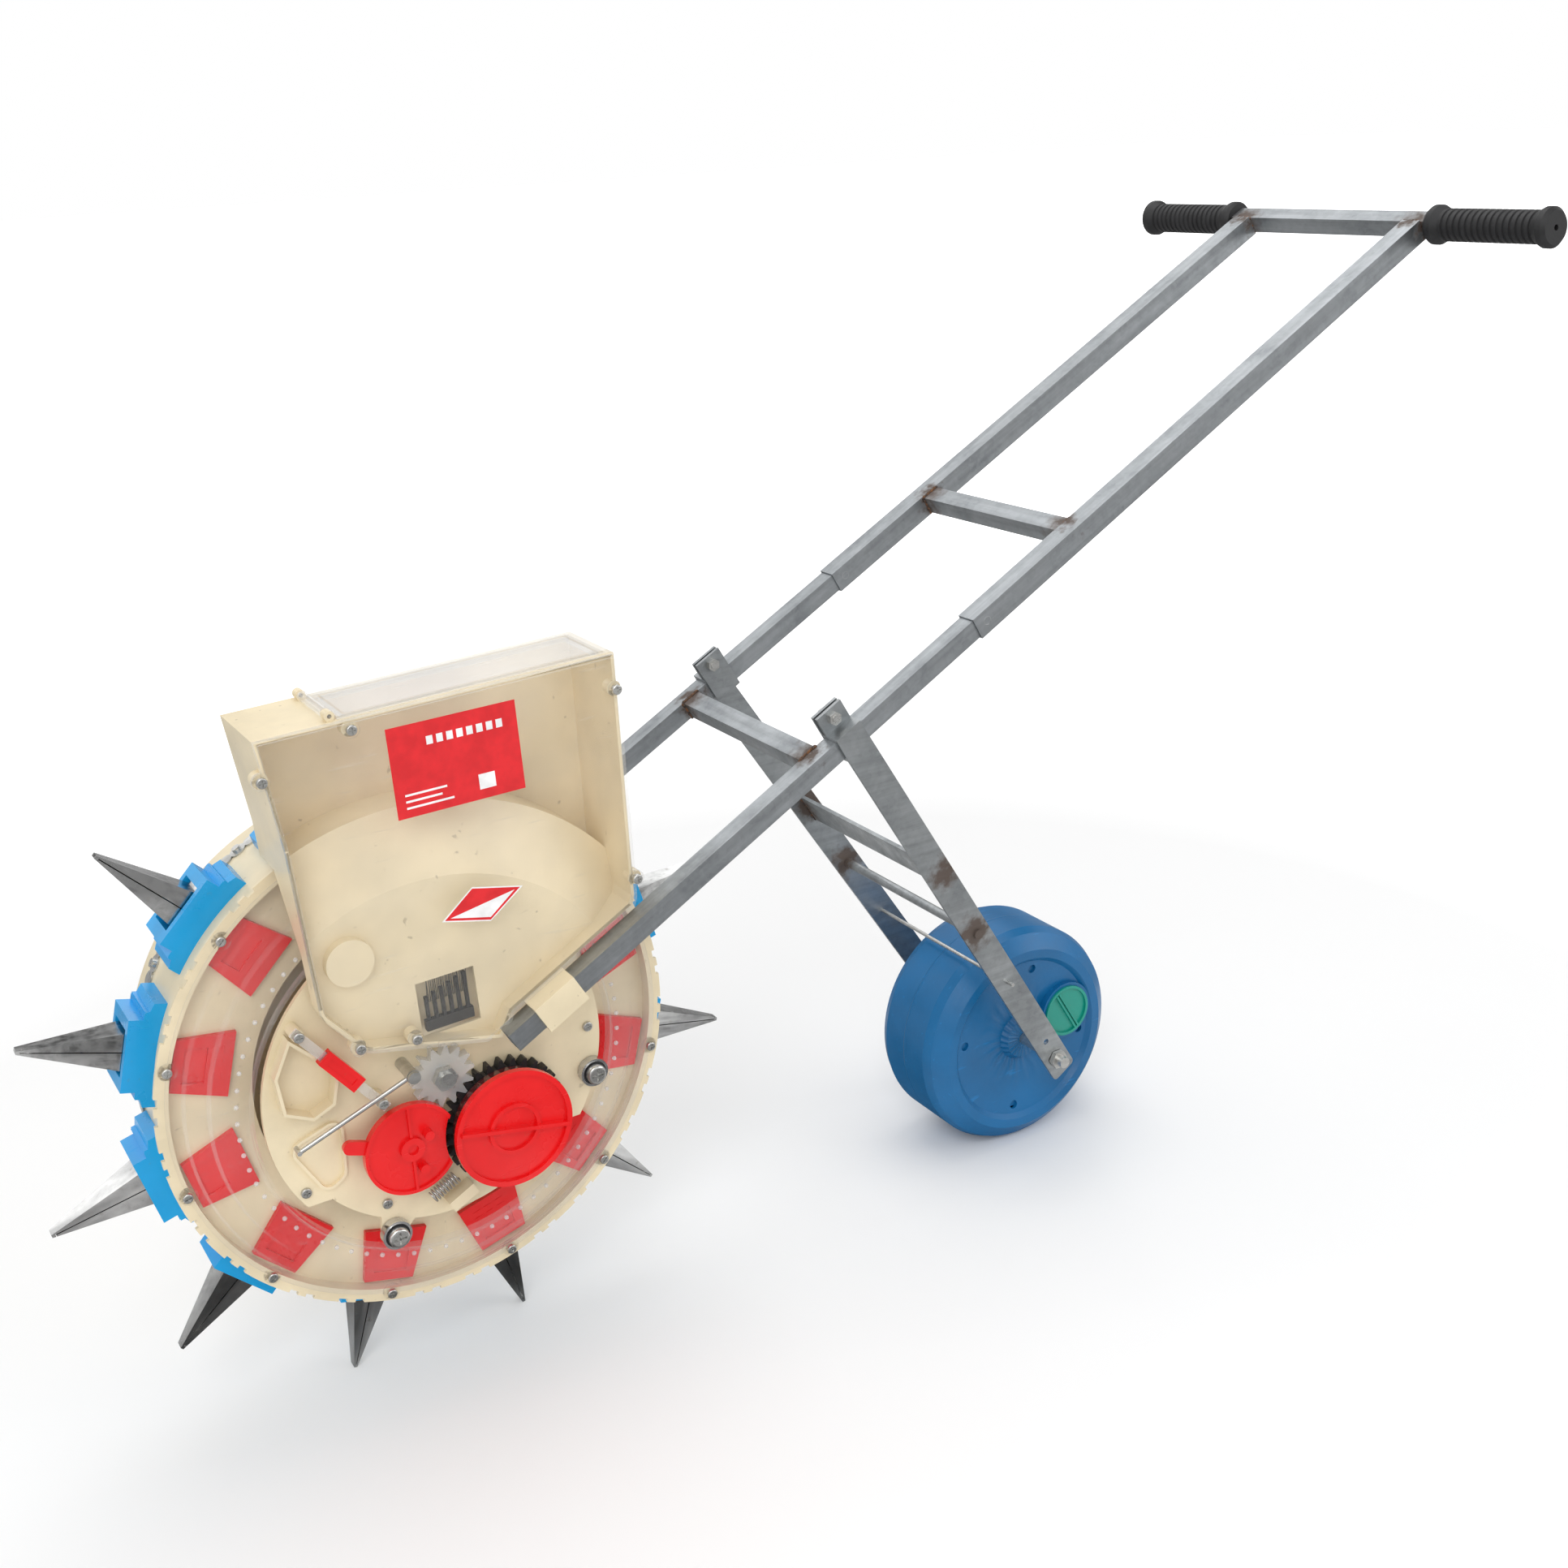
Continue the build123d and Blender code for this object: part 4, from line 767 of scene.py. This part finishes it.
@dataclass
class Repeater:
    """Repeats a small shape along the edges of a path with a Geometry Nodes tree."""

    name: str
    kind: BeadTree
    spacing: float
    size: float
    length: float = 0.0
    jitter: float = 0.0
    seed: int = 7
    lean: float = 0.25

    def tree(self) -> bpy.types.NodeTree:
        """Builds the tree: path to curve, resampled, with one shape on each point."""
        tree = bpy.data.node_groups.new(self.name + "_tree", "GeometryNodeTree")
        ports = (("Geometry", "NodeSocketGeometry"), ("Spacing", "NodeSocketFloat"), ("Size", "NodeSocketFloat"),
                 ("Length", "NodeSocketFloat"), ("Jitter", "NodeSocketFloat"), ("Shape", "NodeSocketVector"),
                 ("Material", "NodeSocketMaterial"))
        for port, kind in ports:
            tree.interface.new_socket(port, in_out="INPUT", socket_type=kind)
        tree.interface.new_socket("Geometry", in_out="OUTPUT", socket_type="NodeSocketGeometry")
        sheet = NodeSheet(tree)
        start = sheet.add("NodeGroupInput").outputs
        end = sheet.add("NodeGroupOutput")
        curve = sheet.add("GeometryNodeMeshToCurve", {"Mesh": start["Geometry"]}).outputs[0]
        samples = sheet.add("GeometryNodeResampleCurve", {"Curve": curve, "Length": start["Spacing"]}, mode="LENGTH")
        if self.kind is BeadTree.BEAD:
            shape = sheet.add("GeometryNodeMeshIcoSphere", {"Radius": start["Size"], "Subdivisions": 2}).outputs[0]
        else:
            inputs = {"Vertices": 5, "Radius Top": 0.0, "Radius Bottom": start["Size"], "Depth": start["Length"]}
            shape = sheet.add("GeometryNodeMeshCone", inputs).outputs[0]
        less, more = (sheet.maths(way, 1.0, start["Jitter"]) for way in ("SUBTRACT", "ADD"))
        scale = sheet.random(sheet.scaled(start["Shape"], less), sheet.scaled(start["Shape"], more), self.seed)
        spread = sheet.add("ShaderNodeCombineXYZ", {axis: start["Jitter"] for axis in range(3)}).outputs[0]
        lean = sheet.random(sheet.scaled(spread, -self.lean), sheet.scaled(spread, self.lean), self.seed + 1)
        inputs = {"Points": samples.outputs[0], "Instance": shape, "Scale": scale, "Rotation": lean}
        copies = sheet.add("GeometryNodeInstanceOnPoints", inputs).outputs[0]
        real = sheet.add("GeometryNodeRealizeInstances", {"Geometry": copies}).outputs[0]
        smooth = sheet.add("GeometryNodeSetShadeSmooth", {"Geometry": real}).outputs[0]
        dressed = sheet.add("GeometryNodeSetMaterial", {"Geometry": smooth, "Material": start["Material"]})
        tree.links.new(dressed.outputs[0], end.inputs[0])
        return tree

    def along(self, points: Sequence[Vector], edges: Sequence[tuple[int, int]], material: bpy.types.Material,
              body: str) -> bpy.types.Object:
        """Repeats the shape along a path and leaves a plain mesh.

        Args:
            points: The path's points in metres.
            edges: The path's edges, as pairs of point numbers.
            material: The pieces' material.
            body: The body that they ride on.

        Returns:
            The finished piece.
        """
        mesh = bpy.data.meshes.new(self.name + "_path")
        mesh.from_pydata([tuple(point) for point in points], list(edges), [])
        host = bpy.data.objects.new(self.name + "_path", mesh)
        bpy.context.scene.collection.objects.link(host)
        modifier = host.modifiers.new("repeat", "NODES")
        tree = self.tree()
        modifier.node_group = tree
        values = {"Spacing": self.spacing, "Size": self.size, "Length": self.length, "Jitter": self.jitter,
                  "Shape": (1.0, 1.0, 1.0), "Material": material}
        for item in tree.interface.items_tree:
            if item.in_out == "INPUT" and item.name in values:
                modifier[item.identifier] = values[item.name]
        bpy.context.view_layer.update()
        evaluated = host.evaluated_get(bpy.context.evaluated_depsgraph_get())
        result = bpy.data.meshes.new_from_object(evaluated)
        result.name = self.name
        host.modifiers.remove(modifier)
        bpy.data.objects.remove(host)
        piece = bpy.data.objects.new(self.name, result)
        bpy.context.scene.collection.objects.link(piece)
        return finish_piece(piece, body)


def closed_loop(points: Sequence[Vector], start: int = 0) -> list[tuple[int, int]]:
    """Gives the edges that join points in a ring.

    Args:
        points: The ring's points.
        start: The number of its first point.

    Returns:
        The edges.
    """
    count = len(points)
    return [(start + index, start + (index + 1) % count) for index in range(count)]


def circle_points(centre: Vector, radius: float, count: int) -> list[Vector]:
    """Gives points on a circle that faces along Y.

    Args:
        centre: Its centre.
        radius: Its radius.
        count: How many points.

    Returns:
        The points.
    """
    turns = [2 * math.pi * index / count for index in range(count)]
    return [centre + radius * Vector((math.cos(turn), 0, math.sin(turn))) for turn in turns]


# ---- sub-assemblies -------------------------------------------------------------------------------------


@dataclass
class Wheel:
    """The beaked wheel: drum, clear ring, holders, beaks and seed pockets."""

    finishes: Finishes
    bead_ring: float = 0.1445
    bead_size: float = 0.0017
    bead_spacing: float = 0.0125
    mark_radii: tuple[float, ...] = (0.147, 0.1525)
    mark_size: tuple[float, float, float] = (0.0010, 0.0006, 0.0060)

    def dress(self) -> None:
        """Gives the wheel's nodes their finishes."""
        flaps = [name for name in frame["nodes"] if name.startswith("beak_flap_")]
        cream = Moulded("cream_drum", CREAM, detail=Detail.ROUND_WHEEL)
        self.finishes.dress(cream, ("wheel_drum", "wheel_back_disc"))
        self.finishes.dress(Moulded("sky_blue", (0.002, 0.37, 0.80), roughness=0.26, dirt=0.12), ("beak_holders",))
        self.finishes.dress(Polished("pressed_steel"), ["fixed_beaks", *flaps])
        self.finishes.dress(RED_POCKETS, ("seed_pockets",))
        self.finishes.dress(ClearSheet("clear_ring", (0.86, 0.87, 0.88), face=0.02, edge=0.30), ("cover_ring",))
        self.finishes.dress(ClearSheet("clear_gear", (0.80, 0.82, 0.84), face=0.32, edge=0.8), ("drive_gear",))
        self.finishes.dress(ZINC, ("cover_ring_screws", "rim_brackets", "shaft_nut", "wheel_shaft"))

    def build(self) -> None:
        """Adds the ring's chain of beads and the pockets' plain marks."""
        self.dress()
        axle = joint_place("wheel_spin")
        low, high = node_box("cover_ring")
        depth = high.y - low.y
        centre = Vector((axle.x, low.y + 0.275 * depth, axle.z))
        ring = circle_points(centre, self.bead_ring, 96)
        clear = self.finishes.material(ClearSheet("clear_beads", (0.88, 0.89, 0.90), face=0.30, edge=0.9))
        beads = Repeater("ring_beads", BeadTree.BEAD, self.bead_spacing, self.bead_size)
        beads.along(ring, closed_loop(ring), clear, "wheel")
        self.pocket_marks(axle)

    def pocket_marks(self, axle: Vector) -> None:
        """Adds plain raised dashes to each seed pocket."""
        near_y = node_box("seed_pockets")[0].y
        points: list[Vector] = []
        faces: list[list[int]] = []
        for index in range(12):
            turn = Matrix.Rotation(-math.radians(15 + 30 * index), 4, "Y")
            for radius in self.mark_radii:
                for side in (-0.011, -0.002, 0.008):
                    add_block(points, faces, turn, axle, Vector((radius, near_y - axle.y, side)), self.mark_size)
        red = self.finishes.material(RED_POCKETS)
        finish_piece(mesh_object("pocket_marks", points, faces, (red,)), "wheel")


def add_block(points: list[Vector], faces: list[list[int]], turn: Matrix, centre: Vector, place: Vector,
              size: tuple[float, float, float]) -> None:
    """Adds a small block, turned about a centre, to a mesh that is being written.

    Args:
        points: The mesh's points so far.
        faces: The mesh's faces so far.
        turn: The rotation about the centre.
        centre: The centre of rotation.
        place: The block's place from the centre before it is turned.
        size: The block's size.
    """
    first = len(points)
    for corner in range(8):
        signs = [1 if corner >> axis & 1 else -1 for axis in range(3)]
        offset = Vector([sign * part / 2 for sign, part in zip(signs, size)])
        points.append(centre + turn @ (place + offset))
    for face in ((0, 1, 3, 2), (4, 6, 7, 5), (0, 4, 5, 1), (2, 3, 7, 6), (0, 2, 6, 4), (1, 5, 7, 3)):
        faces.append([first + number for number in face])


@dataclass
class Hub:
    """The still hub with its seed drive and the bearings that guide the ring."""

    finishes: Finishes
    shield_inner: float = 0.0068
    shield_outer: float = 0.0092
    shield_sunk: float = 0.0005
    segments: int = 40

    def dress(self) -> None:
        """Gives the hub's nodes their finishes."""
        red = Moulded("red_gloss", RED, roughness=0.2, coat=0.35, dirt=0.1)
        self.finishes.dress(Moulded("cream_hub", CREAM, dirt=0.3), ("hub_disc", "tube_clip"))
        self.finishes.dress(red, ("metering_cap", "brush_cover", "gate_clip"))
        smoked = ClearSheet("smoked_red", (0.10, 0.012, 0.012), face=0.78, edge=0.95)
        self.finishes.dress(smoked, ("metering_housing",))
        self.finishes.dress(Moulded("black_gear", (0.016, 0.016, 0.017), roughness=0.4), ("metering_gear",))
        self.finishes.dress(ClearSheet("clear_strip", (0.88, 0.89, 0.90), face=0.22, edge=0.8), ("gate_strip",))
        ground = Galvanised("ground_steel", (0.58, 0.58, 0.58), (0.30, 0.30, 0.30), 0.2, Detail.EVEN)
        self.finishes.dress(ground, ("guide_bearing_1", "guide_bearing_2", "guide_bearing_3"))
        self.finishes.dress(ZINC, ("case_screws", "shoulder_screws", "tension_spring", "gate_rod"))

    def build(self) -> None:
        """Adds a dark shield to each bearing."""
        self.dress()
        rubber = self.finishes.material(Rubber("bearing_shield", (0.02, 0.02, 0.022), 0.45))
        for index in (1, 2, 3):
            centre = node_middle(f"guide_bearing_{index}")
            centre.y = node_box(f"guide_bearing_{index}")[0].y + self.shield_sunk
            points: list[Vector] = []
            for depth in (0.0, 0.0002):
                place = centre + Vector((0, depth, 0))
                points += circle_points(place, self.shield_inner, self.segments)
                points += circle_points(place, self.shield_outer, self.segments)
            count = self.segments
            faces: list[list[int]] = []
            for step in range(count):
                after = (step + 1) % count
                inner, outer, deep_inner, deep_outer = (row * count for row in range(4))
                faces.append([inner + step, inner + after, outer + after, outer + step])
                faces.append([deep_inner + step, deep_outer + step, deep_outer + after, deep_inner + after])
                faces.append([inner + step, deep_inner + step, deep_inner + after, inner + after])
                faces.append([outer + step, outer + after, deep_outer + after, deep_outer + step])
            piece = mesh_object(f"bearing_shield_{index}", points, faces, (rubber,))
            finish_piece(piece, f"bearing_{index}")


@dataclass
class Hopper:
    """The seed hopper with its clear cover and lid, its brush and its stickers."""

    finishes: Finishes
    tilt: float = math.radians(2.1)
    label_low: tuple[float, float] = (-9.0, 206.0)
    label_high: tuple[float, float] = (84.0, 271.0)
    label_lean: float = math.radians(-1.0)
    diamond: tuple[float, float] = (42.0, 129.0)
    diamond_half: tuple[float, float] = (31.0, 14.5)
    bristle_gap: float = 0.0012
    bristle_length: float = 0.030
    cover_sheet: float = 3.0 * MM
    backing: tuple[float, float] = (0.0002, 0.00002)
    print_depths: tuple[float, float] = (0.00026, 0.00021)

    def place(self, x: float, z: float, y: float) -> Vector:
        """Turns a point of the hopper's own level frame into the row's frame.

        Args:
            x: Millimetres along the hopper from the wheel's axle.
            z: Millimetres up from the axle.
            y: The row's Y in metres.

        Returns:
            The point in metres.
        """
        axle = joint_place("wheel_spin")
        across = x * math.cos(self.tilt) - z * math.sin(self.tilt)
        up = x * math.sin(self.tilt) + z * math.cos(self.tilt)
        return Vector((axle.x + across * MM, y, axle.z + up * MM))

    def build(self) -> None:
        """Dresses the hopper and adds its stickers and bristles."""
        self.finishes.dress(Moulded("cream_hopper", CREAM, dirt=0.35, roughness=0.34), ("hopper_body",))
        self.finishes.dress(ClearSheet("clear_cover", (0.91, 0.92, 0.93)), ("hopper_cover",))
        self.finishes.dress(ClearSheet("clear_lid", (0.84, 0.86, 0.88), face=0.07, edge=0.55), ("hopper_lid",))
        self.finishes.dress(Moulded("black_brush", (0.03, 0.028, 0.025), roughness=0.6), ("seed_brush",))
        self.sticker()
        self.diamond_sticker()
        self.bristles()

    def plate(self, points: list[Vector], faces: list[list[int]], corners: Sequence[tuple[float, float]],
              depths: tuple[float, float]) -> None:
        """Adds a thin plate to a mesh that is being written.

        Args:
            points: The mesh's points so far.
            faces: The mesh's faces so far.
            corners: The plate's corners in the hopper's frame, in millimetres.
            depths: How far its near and far faces stand before the clear cover's face, in metres.
        """
        first = len(points)
        count = len(corners)
        for depth in depths:
            points += [self.place(x, z, self.cover_face() - depth) for x, z in corners]
        faces.append([first + number for number in range(count)])
        faces.append([first + count + number for number in range(count)][::-1])
        for number in range(count):
            after = (number + 1) % count
            faces.append([first + number, first + count + number, first + count + after, first + after])

    def cover_face(self) -> float:
        """Gives the Y of the clear cover's flat outer face, which stands behind its rim."""
        return node_box("hopper_cover")[1].y - self.cover_sheet

    def sticker(self) -> None:
        """Adds the red sticker with plain white bars."""
        red = self.finishes.material(STICKER_RED)
        white = self.finishes.material(STICKER_WHITE)
        (left, low), (right, high) = self.label_low, self.label_high
        points: list[Vector] = []
        faces: list[list[int]] = []
        lean = math.tan(self.label_lean)

        def bar(x0: float, z0: float, x1: float, z1: float) -> list[tuple[float, float]]:
            """Gives the corners of an upright bar on the leaning sticker."""
            return [(x - lean * z * 0.3, z + lean * (x - left)) for x, z in ((x0, z0), (x1, z0), (x1, z1), (x0, z1))]

        self.plate(points, faces, bar(left, low, right, high), self.backing)
        finish_piece(mesh_object("hopper_sticker", points, faces, (red,)), "frame")
        points, faces = [], []
        for index in range(8):
            start = left + 27 + index * 7.2
            self.plate(points, faces, bar(start, high - 17, start + 4.6, high - 11), self.print_depths)
        for index, length in enumerate((34.0, 26.0, 30.0)):
            level = low + 6 + 4.6 * index
            self.plate(points, faces, bar(left + 7, level, left + 7 + length, level + 1.5), self.print_depths)
        self.plate(points, faces, bar(right - 33, low + 7, right - 21, low + 18), self.print_depths)
        finish_piece(mesh_object("hopper_sticker_bars", points, faces, (white,)), "frame")

    def diamond_sticker(self) -> None:
        """Adds the small white diamond with a red half and a red edge."""
        red = self.finishes.material(STICKER_RED)
        white = self.finishes.material(STICKER_WHITE)
        x, z = self.diamond
        half_x, half_z = self.diamond_half

        def rhomb(factor: float) -> list[tuple[float, float]]:
            """Gives the corners of a diamond that leans to the right."""
            return [(x - half_x * factor, z - 0.3 * half_z * factor), (x - 2 * factor + 6, z - half_z * factor),
                    (x + half_x * factor, z + 0.3 * half_z * factor), (x + 2 * factor - 8, z + half_z * factor)]

        points: list[Vector] = []
        faces: list[list[int]] = []
        self.plate(points, faces, rhomb(1.0), self.backing)
        finish_piece(mesh_object("diamond_sticker", points, faces, (white,)), "frame")
        points, faces = [], []
        outer, inner = rhomb(0.93), rhomb(0.80)
        self.plate(points, faces, [outer[0], outer[2], outer[3]], self.print_depths)
        for number in (0, 1):
            strip = [outer[number], outer[number + 1], inner[number + 1], inner[number]]
            self.plate(points, faces, strip, self.print_depths)
        finish_piece(mesh_object("diamond_sticker_print", points, faces, (red,)), "frame")

    def bristles(self) -> None:
        """Adds the brush's fine bristles in front of its stiff bundles."""
        low, high = node_box("seed_brush")
        level = low.z + 0.022
        y = low.y + 0.0012
        points = [Vector((low.x + 0.003, y, level)), Vector((high.x - 0.003, y, level + 0.001))]
        dark = self.finishes.material(Rubber("brush_bristle", (0.05, 0.045, 0.04), 0.6))
        comb = Repeater("brush_bristles", BeadTree.BRISTLE, self.bristle_gap, 0.0004, self.bristle_length, 0.12, 3)
        comb.along(points, [(0, 1)], dark, "frame")


@dataclass
class TubeFrame:
    """The lower frame, the telescoping handle and its grips."""

    finishes: Finishes
    tube: float = 0.016
    upper_tube: float = 0.019
    bead: float = 0.0016
    bead_spacing: float = 0.0019
    lip: float = 0.0032
    lip_back: float = 0.011
    lip_sunk: float = 0.0004

    def slope(self) -> Vector:
        """Gives the tubes' direction, from the wheel towards the handle."""
        return Vector(joint_record("handle_slide")["axis"]).normalized()

    def welds(self) -> dict[str, list[Vector]]:
        """Gives the middle of each welded joint by the body that it is on."""
        places: dict[str, list[Vector]] = {"frame": [], "handle": []}
        for node, body in (("lower_crossbar", "frame"), ("mid_crossbar", "handle")):
            low, high = node_box(node)
            middle = (low + high) / 2
            places[body] += [Vector((middle.x, y, middle.z)) for y in (low.y, high.y)]
        bar = node_middle("handlebar")
        for name in ("near_upper_tube", "far_upper_tube"):
            low, high = node_box(name)
            start = bar - self.slope() * self.tube / 2
            places["handle"].append(Vector((start.x, (low.y + high.y) / 2, start.z)))
        return places

    def dress(self) -> None:
        """Gives the frame's nodes their finishes."""
        slope = self.slope()
        tilt = math.atan2(slope.z, slope.x)
        spots = tuple(tuple(place) for places in self.welds().values() for place in places)
        tubes = Galvanised("galvanised_tube", tilt=tilt, welds=spots)
        self.finishes.dress(tubes, ("near_lower_tube", "far_lower_tube", "near_upper_tube", "far_upper_tube"))
        bars = Galvanised("galvanised_bar", detail=Detail.ACROSS, welds=spots, weld_reach=0.024)
        self.finishes.dress(bars, ("lower_crossbar", "mid_crossbar", "handlebar"))
        self.finishes.dress(Rubber("grip_rubber"), ("near_grip", "far_grip"))

    def build(self) -> None:
        """Adds the weld beads and the lips that hold the telescoping tubes."""
        self.dress()
        slope = self.slope()
        up = Vector((-slope.z, 0, slope.x))
        burnt = self.finishes.material(Burnt("weld_metal"))
        for body, places in self.welds().items():
            points: list[Vector] = []
            edges: list[tuple[int, int]] = []
            for place in places:
                half = self.tube / 2
                at_bar = abs(place.y) < abs(node_middle("near_upper_tube").y) - 0.002
                side = Vector((0, 1, 0)) if not at_bar else slope
                corners = [place + side * half * a + up * half * b for a, b in ((-1, -1), (1, -1), (1, 1), (-1, 1))]
                edges += closed_loop(corners, len(points))
                points += corners
            welds = Repeater(f"{body}_welds", BeadTree.BEAD, self.bead_spacing, self.bead, jitter=0.35, seed=11)
            welds.along(points, edges, burnt, body)
        self.lips(slope)

    def lips(self, slope: Vector) -> None:
        """Adds a pressed lip near the lower end of each upper tube.

        Args:
            slope: The tubes' direction.
        """
        steel = self.finishes.material(PRESSED_LIP)
        half = self.upper_tube / 2
        for name in ("near", "far"):
            low, high = node_box(f"{name}_upper_tube")
            end = Vector((low.x, (low.y + high.y) / 2, low.z)) + half * Vector((slope.z, 0, slope.x))
            centre = end + slope * self.lip_back - Vector((0, half - self.lip_sunk, 0))
            ring = circle_points(centre, self.lip, 20)
            lip = Repeater(f"{name}_tube_lip", BeadTree.BEAD, 0.0008, 0.0006, jitter=0.1, seed=5)
            lip.along(ring, closed_loop(ring), steel, "handle")


@dataclass
class Press:
    """The press roller with its arms, braces and filler plug."""

    finishes: Finishes
    bead: float = 0.0014

    def dress(self) -> None:
        """Gives the roller's and the arms' nodes their finishes."""
        low, high = node_box("press_roller")
        centre = tuple((low + high) / 2)
        self.finishes.dress(BlowMoulded("roller_blue", (0.001, 0.125, 0.32), centre), ("press_roller",))
        self.finishes.dress(Moulded("green_plug", (0.002, 0.29, 0.22), roughness=0.3), ("filler_cap",))
        low, high = node_box("arm_braces")
        spots = tuple((x, y, z) for x, z in ((low.x + 0.014, high.z - 0.012), (high.x - 0.006, low.z + 0.006))
                      for y in (low.y + 0.002, high.y - 0.002))
        arms = Galvanised("galvanised_arm", (0.40, 0.42, 0.43), detail=Detail.EVEN, welds=spots, weld_reach=0.020)
        self.finishes.dress(arms, ("near_roller_arm", "far_roller_arm", "arm_braces"))
        self.finishes.dress(ZINC, ("clamp_bolts", "axle_nuts", "roller_axle", "scraper_wire"))

    def build(self) -> None:
        """Adds the welds where the brace meets the arms."""
        self.dress()
        low, high = node_box("arm_braces")
        burnt = self.finishes.material(Burnt("weld_metal"))
        points: list[Vector] = []
        edges: list[tuple[int, int]] = []
        for y in (low.y + 0.0045, high.y - 0.0045):
            start = Vector((low.x + 0.002, y, high.z - 0.004))
            end = start + Vector((0.014, 0, -0.023))
            edges.append((len(points), len(points) + 1))
            points += [start, end]
        welds = Repeater("brace_welds", BeadTree.BEAD, 0.0018, self.bead, jitter=0.35, seed=19)
        welds.along(points, edges, burnt, "carrier")


# ---- studio ---------------------------------------------------------------------------------------------


@dataclass
class Lamp:
    """One soft area light."""

    name: str
    place: tuple[float, float, float]
    aim: tuple[float, float, float]
    size: float
    power: float


@dataclass
class Studio:
    """The pale floor, the soft lights and the camera."""

    eye: tuple[float, float, float] = (-0.3783, -1.2174, 0.6416)
    forward: tuple[float, float, float] = (0.48641, 0.81988, -0.30198)
    right: tuple[float, float, float] = (0.8507, -0.52324, -0.05035)
    lens: float = 41.99
    shift: tuple[float, float] = (0.0022, -0.0544)
    floor_size: float = 60.0
    fade: tuple[float, float] = (0.9, 2.6)
    mirror_light: tuple[float, float] = (0.07, 0.85)
    sky: float = 0.72
    patch_scale: float = 2.2
    patch_light: tuple[float, float] = (0.06, 1.5)
    lamps: list[Lamp] = field(default_factory=lambda: [
        Lamp("key", (-1.9, -2.3, 2.6), (-0.1, 0.0, 0.3), 1.6, 40.0),
        Lamp("fill", (2.3, -1.9, 1.7), (0.1, 0.0, 0.35), 1.8, 13.0),
        Lamp("top", (0.2, 0.6, 2.9), (0.0, 0.0, 0.3), 2.0, 20.0),
    ])

    def floor(self) -> None:
        """Adds the floor: pale near the part, plain white far off, and patchy in reflections."""
        material, sheet, shader = new_material("studio_floor")
        place = sheet.place()
        cloud = sheet.ramp(sheet.noise(place, 1.4, 2.0), 0.3, 0.7)
        pale = sheet.blend(cloud, (0.92, 0.92, 0.92), (0.94, 0.94, 0.94))
        rays = sheet.add("ShaderNodeLightPath").outputs
        mirrored = sheet.ramp(sheet.noise(place, 3.1, 2.0, 0.5), 0.44, 0.58, *self.mirror_light)
        sheet.feed(shader.inputs["Base Color"], sheet.blend(rays["Is Glossy Ray"], pale, mirrored))
        shader.inputs["Roughness"].default_value = 0.75
        shader.inputs["Specular IOR Level"].default_value = 0.1
        reach = sheet.add("ShaderNodeVectorMath", {0: place}, operation="LENGTH").outputs["Value"]
        far_off = sheet.maths("MULTIPLY", sheet.ramp(reach, *self.fade), rays["Is Camera Ray"])
        shader.inputs["Emission Color"].default_value = (1.0, 1.0, 1.0, 1.0)
        sheet.feed(shader.inputs["Emission Strength"], far_off)
        half = self.floor_size / 2
        corners = [Vector((x, y, 0.0)) for x, y in ((-half, -half), (half, -half), (half, half), (-half, half))]
        mesh_object("studio_floor", corners, [(0, 1, 2, 3)], (material,))

    def sky_nodes(self, world: bpy.types.World) -> None:
        """Writes the sky: white to the camera, even to matt surfaces and patchy in reflections."""
        background = world.node_tree.nodes["Background"]
        sheet = NodeSheet(world.node_tree)
        rays = sheet.add("ShaderNodeLightPath").outputs
        way = sheet.add("ShaderNodeTexCoord").outputs["Generated"]
        patches = sheet.ramp(sheet.noise(way, self.patch_scale, 2.0, 0.45), 0.46, 0.56, *self.patch_light)
        light = sheet.blend(rays["Is Glossy Ray"], (self.sky, self.sky, self.sky), patches)
        sheet.feed(background.inputs[0], sheet.blend(rays["Is Camera Ray"], light, (1.0, 1.0, 1.0)))
        background.inputs[1].default_value = 1.0

    def lights(self) -> None:
        """Adds the sky and the area lights."""
        world = bpy.data.worlds.new("studio")
        bpy.context.scene.world = world
        world.use_nodes = True
        self.sky_nodes(world)
        for lamp in self.lamps:
            data = bpy.data.lights.new(lamp.name, "AREA")
            data.size = lamp.size
            data.energy = lamp.power
            light = bpy.data.objects.new(lamp.name, data)
            light.location = lamp.place
            aim = Vector(lamp.aim) - Vector(lamp.place)
            light.rotation_euler = aim.to_track_quat("-Z", "Y").to_euler()
            bpy.context.scene.collection.objects.link(light)

    def camera(self) -> None:
        """Adds the camera."""
        data = bpy.data.cameras.new("camera")
        data.sensor_width = 36.0
        data.lens = self.lens
        data.shift_x, data.shift_y = self.shift
        data.clip_start = 0.05
        camera = bpy.data.objects.new("camera", data)
        back = -Vector(self.forward).normalized()
        right = Vector(self.right).normalized()
        up = back.cross(right)
        turn = Matrix((right, up, back)).transposed().to_4x4()
        axle = joint_place("wheel_spin") * Vector((1, 0, 1))
        camera.matrix_world = Matrix.Translation(axle + Vector(self.eye)) @ turn
        bpy.context.scene.collection.objects.link(camera)
        bpy.context.scene.camera = camera

    def build(self) -> None:
        """Builds the whole studio."""
        self.camera()
        self.floor()
        self.lights()
        bpy.context.scene.view_settings.view_transform = "Standard"


def main() -> None:
    """Builds the studio and each sub-assembly in order."""
    finishes = Finishes()
    Studio().build()
    for assembly in (Wheel(finishes), Hub(finishes), Hopper(finishes), TubeFrame(finishes), Press(finishes)):
        LOG.info("building %s", type(assembly).__name__)
        assembly.build()


if __name__ == "__main__":
    main()
